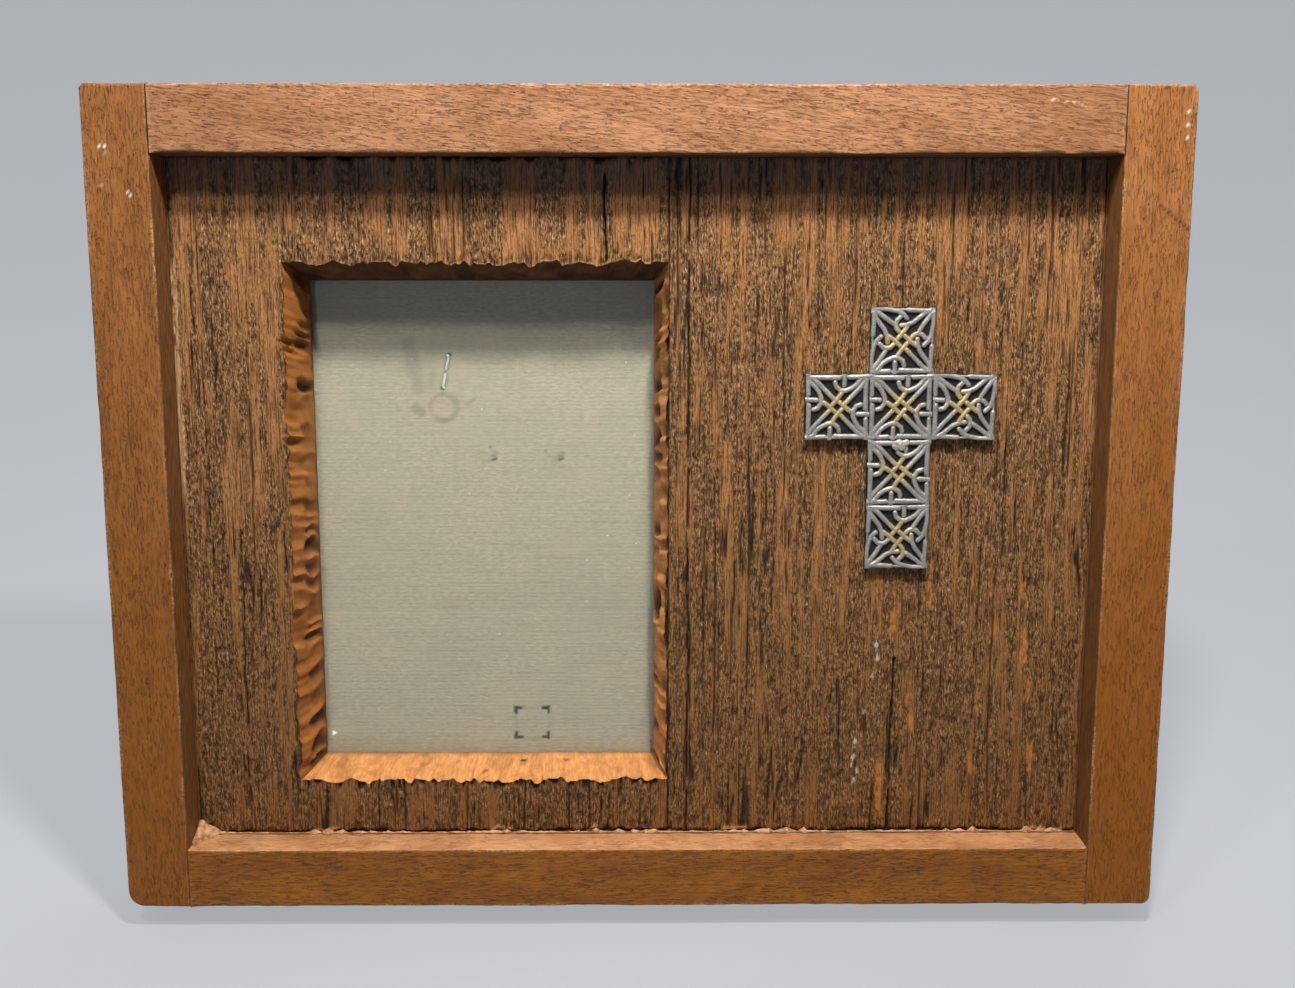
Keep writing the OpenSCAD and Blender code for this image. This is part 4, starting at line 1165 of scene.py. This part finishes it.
def wire(path, radius, sides=12):
    """A round wire through points, as a shell that is closed at both ends."""
    ways = unit(np.gradient(path, axis=0))
    side = np.cross(ways, (0.0, 1.0, 0.0))
    side[np.linalg.norm(side, axis=1) < 0.2] = (1.0, 0.0, 0.0)
    side = unit(side)
    up = np.cross(side, ways)
    turn = np.linspace(0, 2 * np.pi, sides + 1)[:, None]
    tube = path[:, None] + radius * (side[:, None] * np.cos(turn) + up[:, None] * np.sin(turn))
    shell = Shell()
    shell.sheet(tube)
    for end in (0, -1):
        shell.face(tube[end, :-1])
    return shell


WIRE_FULLER = 1.35
STAPLE_ENDS = (180.6, 179.4)


def hanger_staple(material):
    """The staple of the hanging ring: a crown behind, two legs and their ends bent over the paper."""
    low, high = span("hanger_staple")
    x = middle("hanger_staple")[0]
    radius = (high[0] - low[0]) / 2 * WIRE_FULLER
    front, back = low[1] + radius * 0.5, high[1] - radius
    (top_x, top_z), (low_x, low_z) = STAPLE_TOP, STAPLE_LOW
    bent = 0.45 * (low_x - top_x)
    crown_top, crown_low = high[2] - radius, low[2] + radius
    path = [(top_x + bent, front + 0.02, STAPLE_ENDS[0]), (top_x, front, top_z - 0.3),
            (x, front + 0.5, crown_top), (x, back - 0.4, crown_top), (x, back, crown_top - 0.4),
            (x, back, crown_low + 0.4), (x, back - 0.4, crown_low), (x, front + 0.5, crown_low),
            (low_x, front, low_z + 0.3), (low_x - bent, front + 0.02, STAPLE_ENDS[1])]
    shell = wire(resample(path, 0.25), radius)
    dress(shell.build("hanger_staple_wire", crease=60), "hanger_staple", material)


# The ribbon stays the leg: under its plate, taut across to the leg, then down along it
RIBBON_W, RIBBON_T = 8.0, 0.45
# Places in y and z along the ribbon's path
RIBBON_PATH = ((42.055, 58.3), (42.055, 47.2), (42.5, 46.25), (79.3, 55.45), (79.9, 55.2), (83.1, 46.6))


def stay_ribbon(material):
    path = resample([(LEG_X, y, z) for y, z in RIBBON_PATH], 0.5)
    level = np.array([1.0, 0.0, 0.0])
    square = np.cross(level, unit(np.gradient(path, axis=0)))
    across = np.linspace(-0.5, 0.5, 13)
    loose = np.sin(np.pi * np.clip(np.linspace(-0.35, 1.3, len(path)), 0, 1))
    sag = loose[:, None] * (0.35 * np.cos(np.pi * across) - 0.35)
    hem = 1 - 0.35 * smooth(0.44, 0.5, abs(across))
    flat = path[:, None] + level * (across * RIBBON_W)[:, None]
    under, over = [flat + square[:, None] * (face * RIBBON_T * hem + sag)[..., None] for face in (-0.5, 0.5)]
    shell = Shell()
    shell.sheet(under)
    shell.sheet(over)
    for end in (0, -1):
        shell.sheet(np.stack([under[:, end], over[:, end]]))
    for end in (0, -1):
        shell.sheet(np.stack([under[end], over[end]]))
    piece = shell.build("stay_ribbon_cloth", crease=60)
    dress(piece, "stay_ribbon", material, body=None)
    start, end = to_world([[LEG_X, *RIBBON_PATH[2]], [LEG_X, *RIBBON_PATH[3]]])
    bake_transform(piece)


# Everything is made and dressed

def dress_frame():
    rail = strip_wood("rail_wood_tan", (172, 121, 84), (147, 97, 59), (86, 53, 31), 0, 0.6, -7)
    low_rail = strip_wood("rail_wood_dark", (162, 99, 26), (136, 79, 18), (80, 45, 14), 0, 0.7)
    left = strip_wood("stile_wood_left", (154, 98, 46), (131, 80, 32), (82, 48, 19), 2, 0.25)
    right = strip_wood("stile_wood_right", (166, 108, 57), (148, 91, 39), (100, 59, 24), 2, 0.2)
    strip("left_stile", left, (((-1, 1), 2.0), ((-1, -1), 5.5)))
    strip("right_stile", right, (((1, 1), 2.2), ((1, -1), 3.2)))
    strip("top_rail", rail)
    strip("bottom_rail", low_rail)
    wood = panel_wood()
    left_board(wood)
    right_board(wood)
    glue_bead(glue_amber())


def dress_fittings():
    steel = metal("nail_steel_dull", (150, 146, 140), (86, 78, 70), 0.85, 0.35, 0.6)
    wire_metal = metal("wire_steel_bright", (206, 204, 198), (140, 138, 132), 0.95, 0.22, 0.4)
    brass = metal("hinge_brass_worn", (206, 168, 92), (132, 100, 56), 0.95, 0.3, 0.5)
    button_brass = metal("button_brass_worn", (210, 172, 96), (126, 94, 52), 0.95, 0.28, 0.55)
    cross(pewter())
    brad_blob(metal("brad_metal", (202, 194, 180), (140, 130, 118), 0.55, 0.35, 0.55))
    backing_paper(ribbed_paper())
    hanger_staple(metal("staple_bright", (236, 233, 226), (176, 172, 164), 0.45, 0.3, 0.45))
    stay_ribbon(ribbon_weave())
    for name, width, material, slot, body, front in (
            ("backing_board", 0.3, hardboard(), "backing_hardboard", "frame", None),
            ("hinge_rivets", 0.05, brass, "hinge_brass", "frame", PAPER_DEEPEST),
            ("easel_strut", 0.4, leg_board(), "leg_board", "leg", None),
            ("hinge_fixed_leaf", 0.12, brass, "hinge_brass", "frame", None),
            ("hinge_moving_leaf", 0.12, brass, "hinge_brass", "leg", None),
            ("ribbon_plate", 0.12, steel, "nail_steel", "frame", PAPER_DEEPEST),
            ("hanger_strap", 0.12, steel, "nail_steel", "frame", None)):
        dress(softened(name, width, front), name, material, body)
    for number in range(1, 5):
        name = f"turn_button_{number}"
        dress(softened(name, 0.22), name, button_brass, f"button_{number}")
    kept = {"corner_nails": steel, "panel_nails": steel, "glass_pane": window_glass(),
            "hinge_pin": wire_metal, "strut_rivets": brass, "ribbon_staple": wire_metal,
            "hanger_ring": wire_metal, "button_screws": button_brass}
    for name, material in kept.items():
        paint_over(NODES[name], material)


# Stage, lamps and camera

CAMERA_PLACE = (-1.82, -465.51, 221.94)
CAMERA_LENS, CAMERA_SENSOR = 40.225, 36.0
CAMERA_TURNS = (9.60, -0.49, -0.05)
# Place, size and power of each lamp
LAMPS = (((-186.0, -350.0, 555.0), 62.0, 1.05), ((62.0, -250.0, 588.0), 62.0, 3.9))
LAMP_TONE = (1.0, 0.965, 0.91)
LAMP_AIM = (0.0, PANEL_Y, 136.0)
FILL_FRONT, FILL_BEHIND = 0.1, 1.5
FILL_TONE = (0.88, 0.95, 1.06, 1.0)
STAGE_WIDTH, STAGE_FRONT, STAGE_BACK, STAGE_BEND, STAGE_TOP = 3.0, -2.5, 0.6, 1.6, 3.2
FLOOR_TONES = (0.34, 0.35, 0.37, 1.0), (0.37, 0.38, 0.40, 1.0)
STAGE_TONE, STAGE_GLOW = (0.70, 0.725, 0.76, 1.0), 0.55
FAR_TONE = (0.43, 0.445, 0.465, 1.0)


def place_camera():
    """The camera's turns are about axes to the right, down and forward, with the frame upright."""
    camera = link("camera", bpy.data.cameras.new("camera"))
    camera.data.sensor_width = CAMERA_SENSOR
    camera.data.sensor_fit = "HORIZONTAL"
    camera.data.lens = CAMERA_LENS
    camera.data.clip_start = 0.01
    turns = np.array(Euler([math.radians(turn) for turn in CAMERA_TURNS], "XYZ").to_matrix())
    right, down, forward = (turns[:, [0, 2, 1]] * (1, 1, -1)) @ TURN
    axes = Matrix([right, -down, -forward]).transposed().to_4x4()
    camera.matrix_world = Matrix.Translation(to_world([CAMERA_PLACE])[0]) @ axes
    bpy.context.scene.camera = camera


def place_lamps():
    for number, (place, size, power) in enumerate(LAMPS):
        data = bpy.data.lights.new(f"lamp_{number}", "AREA")
        data.shape = "DISK"
        data.size = size * MM
        data.energy = power
        data.color = LAMP_TONE
        lamp = link(f"lamp_{number}", data)
        lamp.location = to_world([place])[0]
        aim = Vector(to_world([LAMP_AIM])[0]) - lamp.location
        lamp.rotation_euler = aim.to_track_quat("-Z", "Y").to_euler()


def light_world():
    """An even fill, weaker from the front than from behind, where no lamp reaches."""
    world = bpy.data.worlds.new("studio")
    bpy.context.scene.world = world
    tree = Tree(world)
    way = tree.add("SeparateXYZ", {0: tree.add("TexCoord").outputs["Generated"]}).outputs["Y"]
    fill = tree.nodes["Background"]
    tree.join(FILL_TONE, fill.inputs["Color"])
    tree.join(tree.level(way, 0.15, 0.7, FILL_FRONT, FILL_BEHIND), fill.inputs["Strength"])
    tree.show(tree.background_rays(), fill, tree.add("Background", {"Color": FAR_TONE}), "World Output")


def stage_sheet(name, run, material):
    """A wide sheet of the stage through places in y and z."""
    points = [(side * STAGE_WIDTH, y, z) for y, z in run for side in (-1, 1)]
    faces = [(2 * k, 2 * k + 1, 2 * k + 3, 2 * k + 2) for k in range(len(run) - 1)]
    mesh = bpy.data.meshes.new(name)
    mesh.from_pydata(points, [], faces)
    mesh.shade_smooth()
    mesh.materials.append(material)
    sheet = link(name, mesh)
    return sheet


def lay_floor():
    """A pale floor and a backdrop that bends up from it. The fill light passes through the backdrop."""
    paint = Paint("floor_paper", {"Roughness": 0.9, "Specular IOR Level": 0.1})
    paint.base = paint.mix(paint.noise(60, detail=2), *FLOOR_TONES)
    paint.finish()
    shown = paint.times(paint.background_rays(), STAGE_GLOW)
    paint.show(shown, paint.shader, paint.add("Emission", {"Color": STAGE_TONE}), "Material Output")
    low = CAD_BOX[0][2]
    bend = np.linspace(0, np.pi / 2, 33)
    rise = [(STAGE_BACK + STAGE_BEND * math.sin(a), low + STAGE_BEND * (1 - math.cos(a))) for a in bend]
    stage_sheet("floor", [(STAGE_FRONT, low), (STAGE_BACK, low)], paint.material)
    backdrop = stage_sheet("backdrop", rise + [(STAGE_BACK + STAGE_BEND, STAGE_TOP)], paint.material)
    backdrop.visible_diffuse = False
    backdrop.visible_shadow = False


dress_frame()
dress_fittings()
lay_floor()
place_camera()
place_lamps()
light_world()
bpy.context.scene.view_settings.view_transform = "Standard"
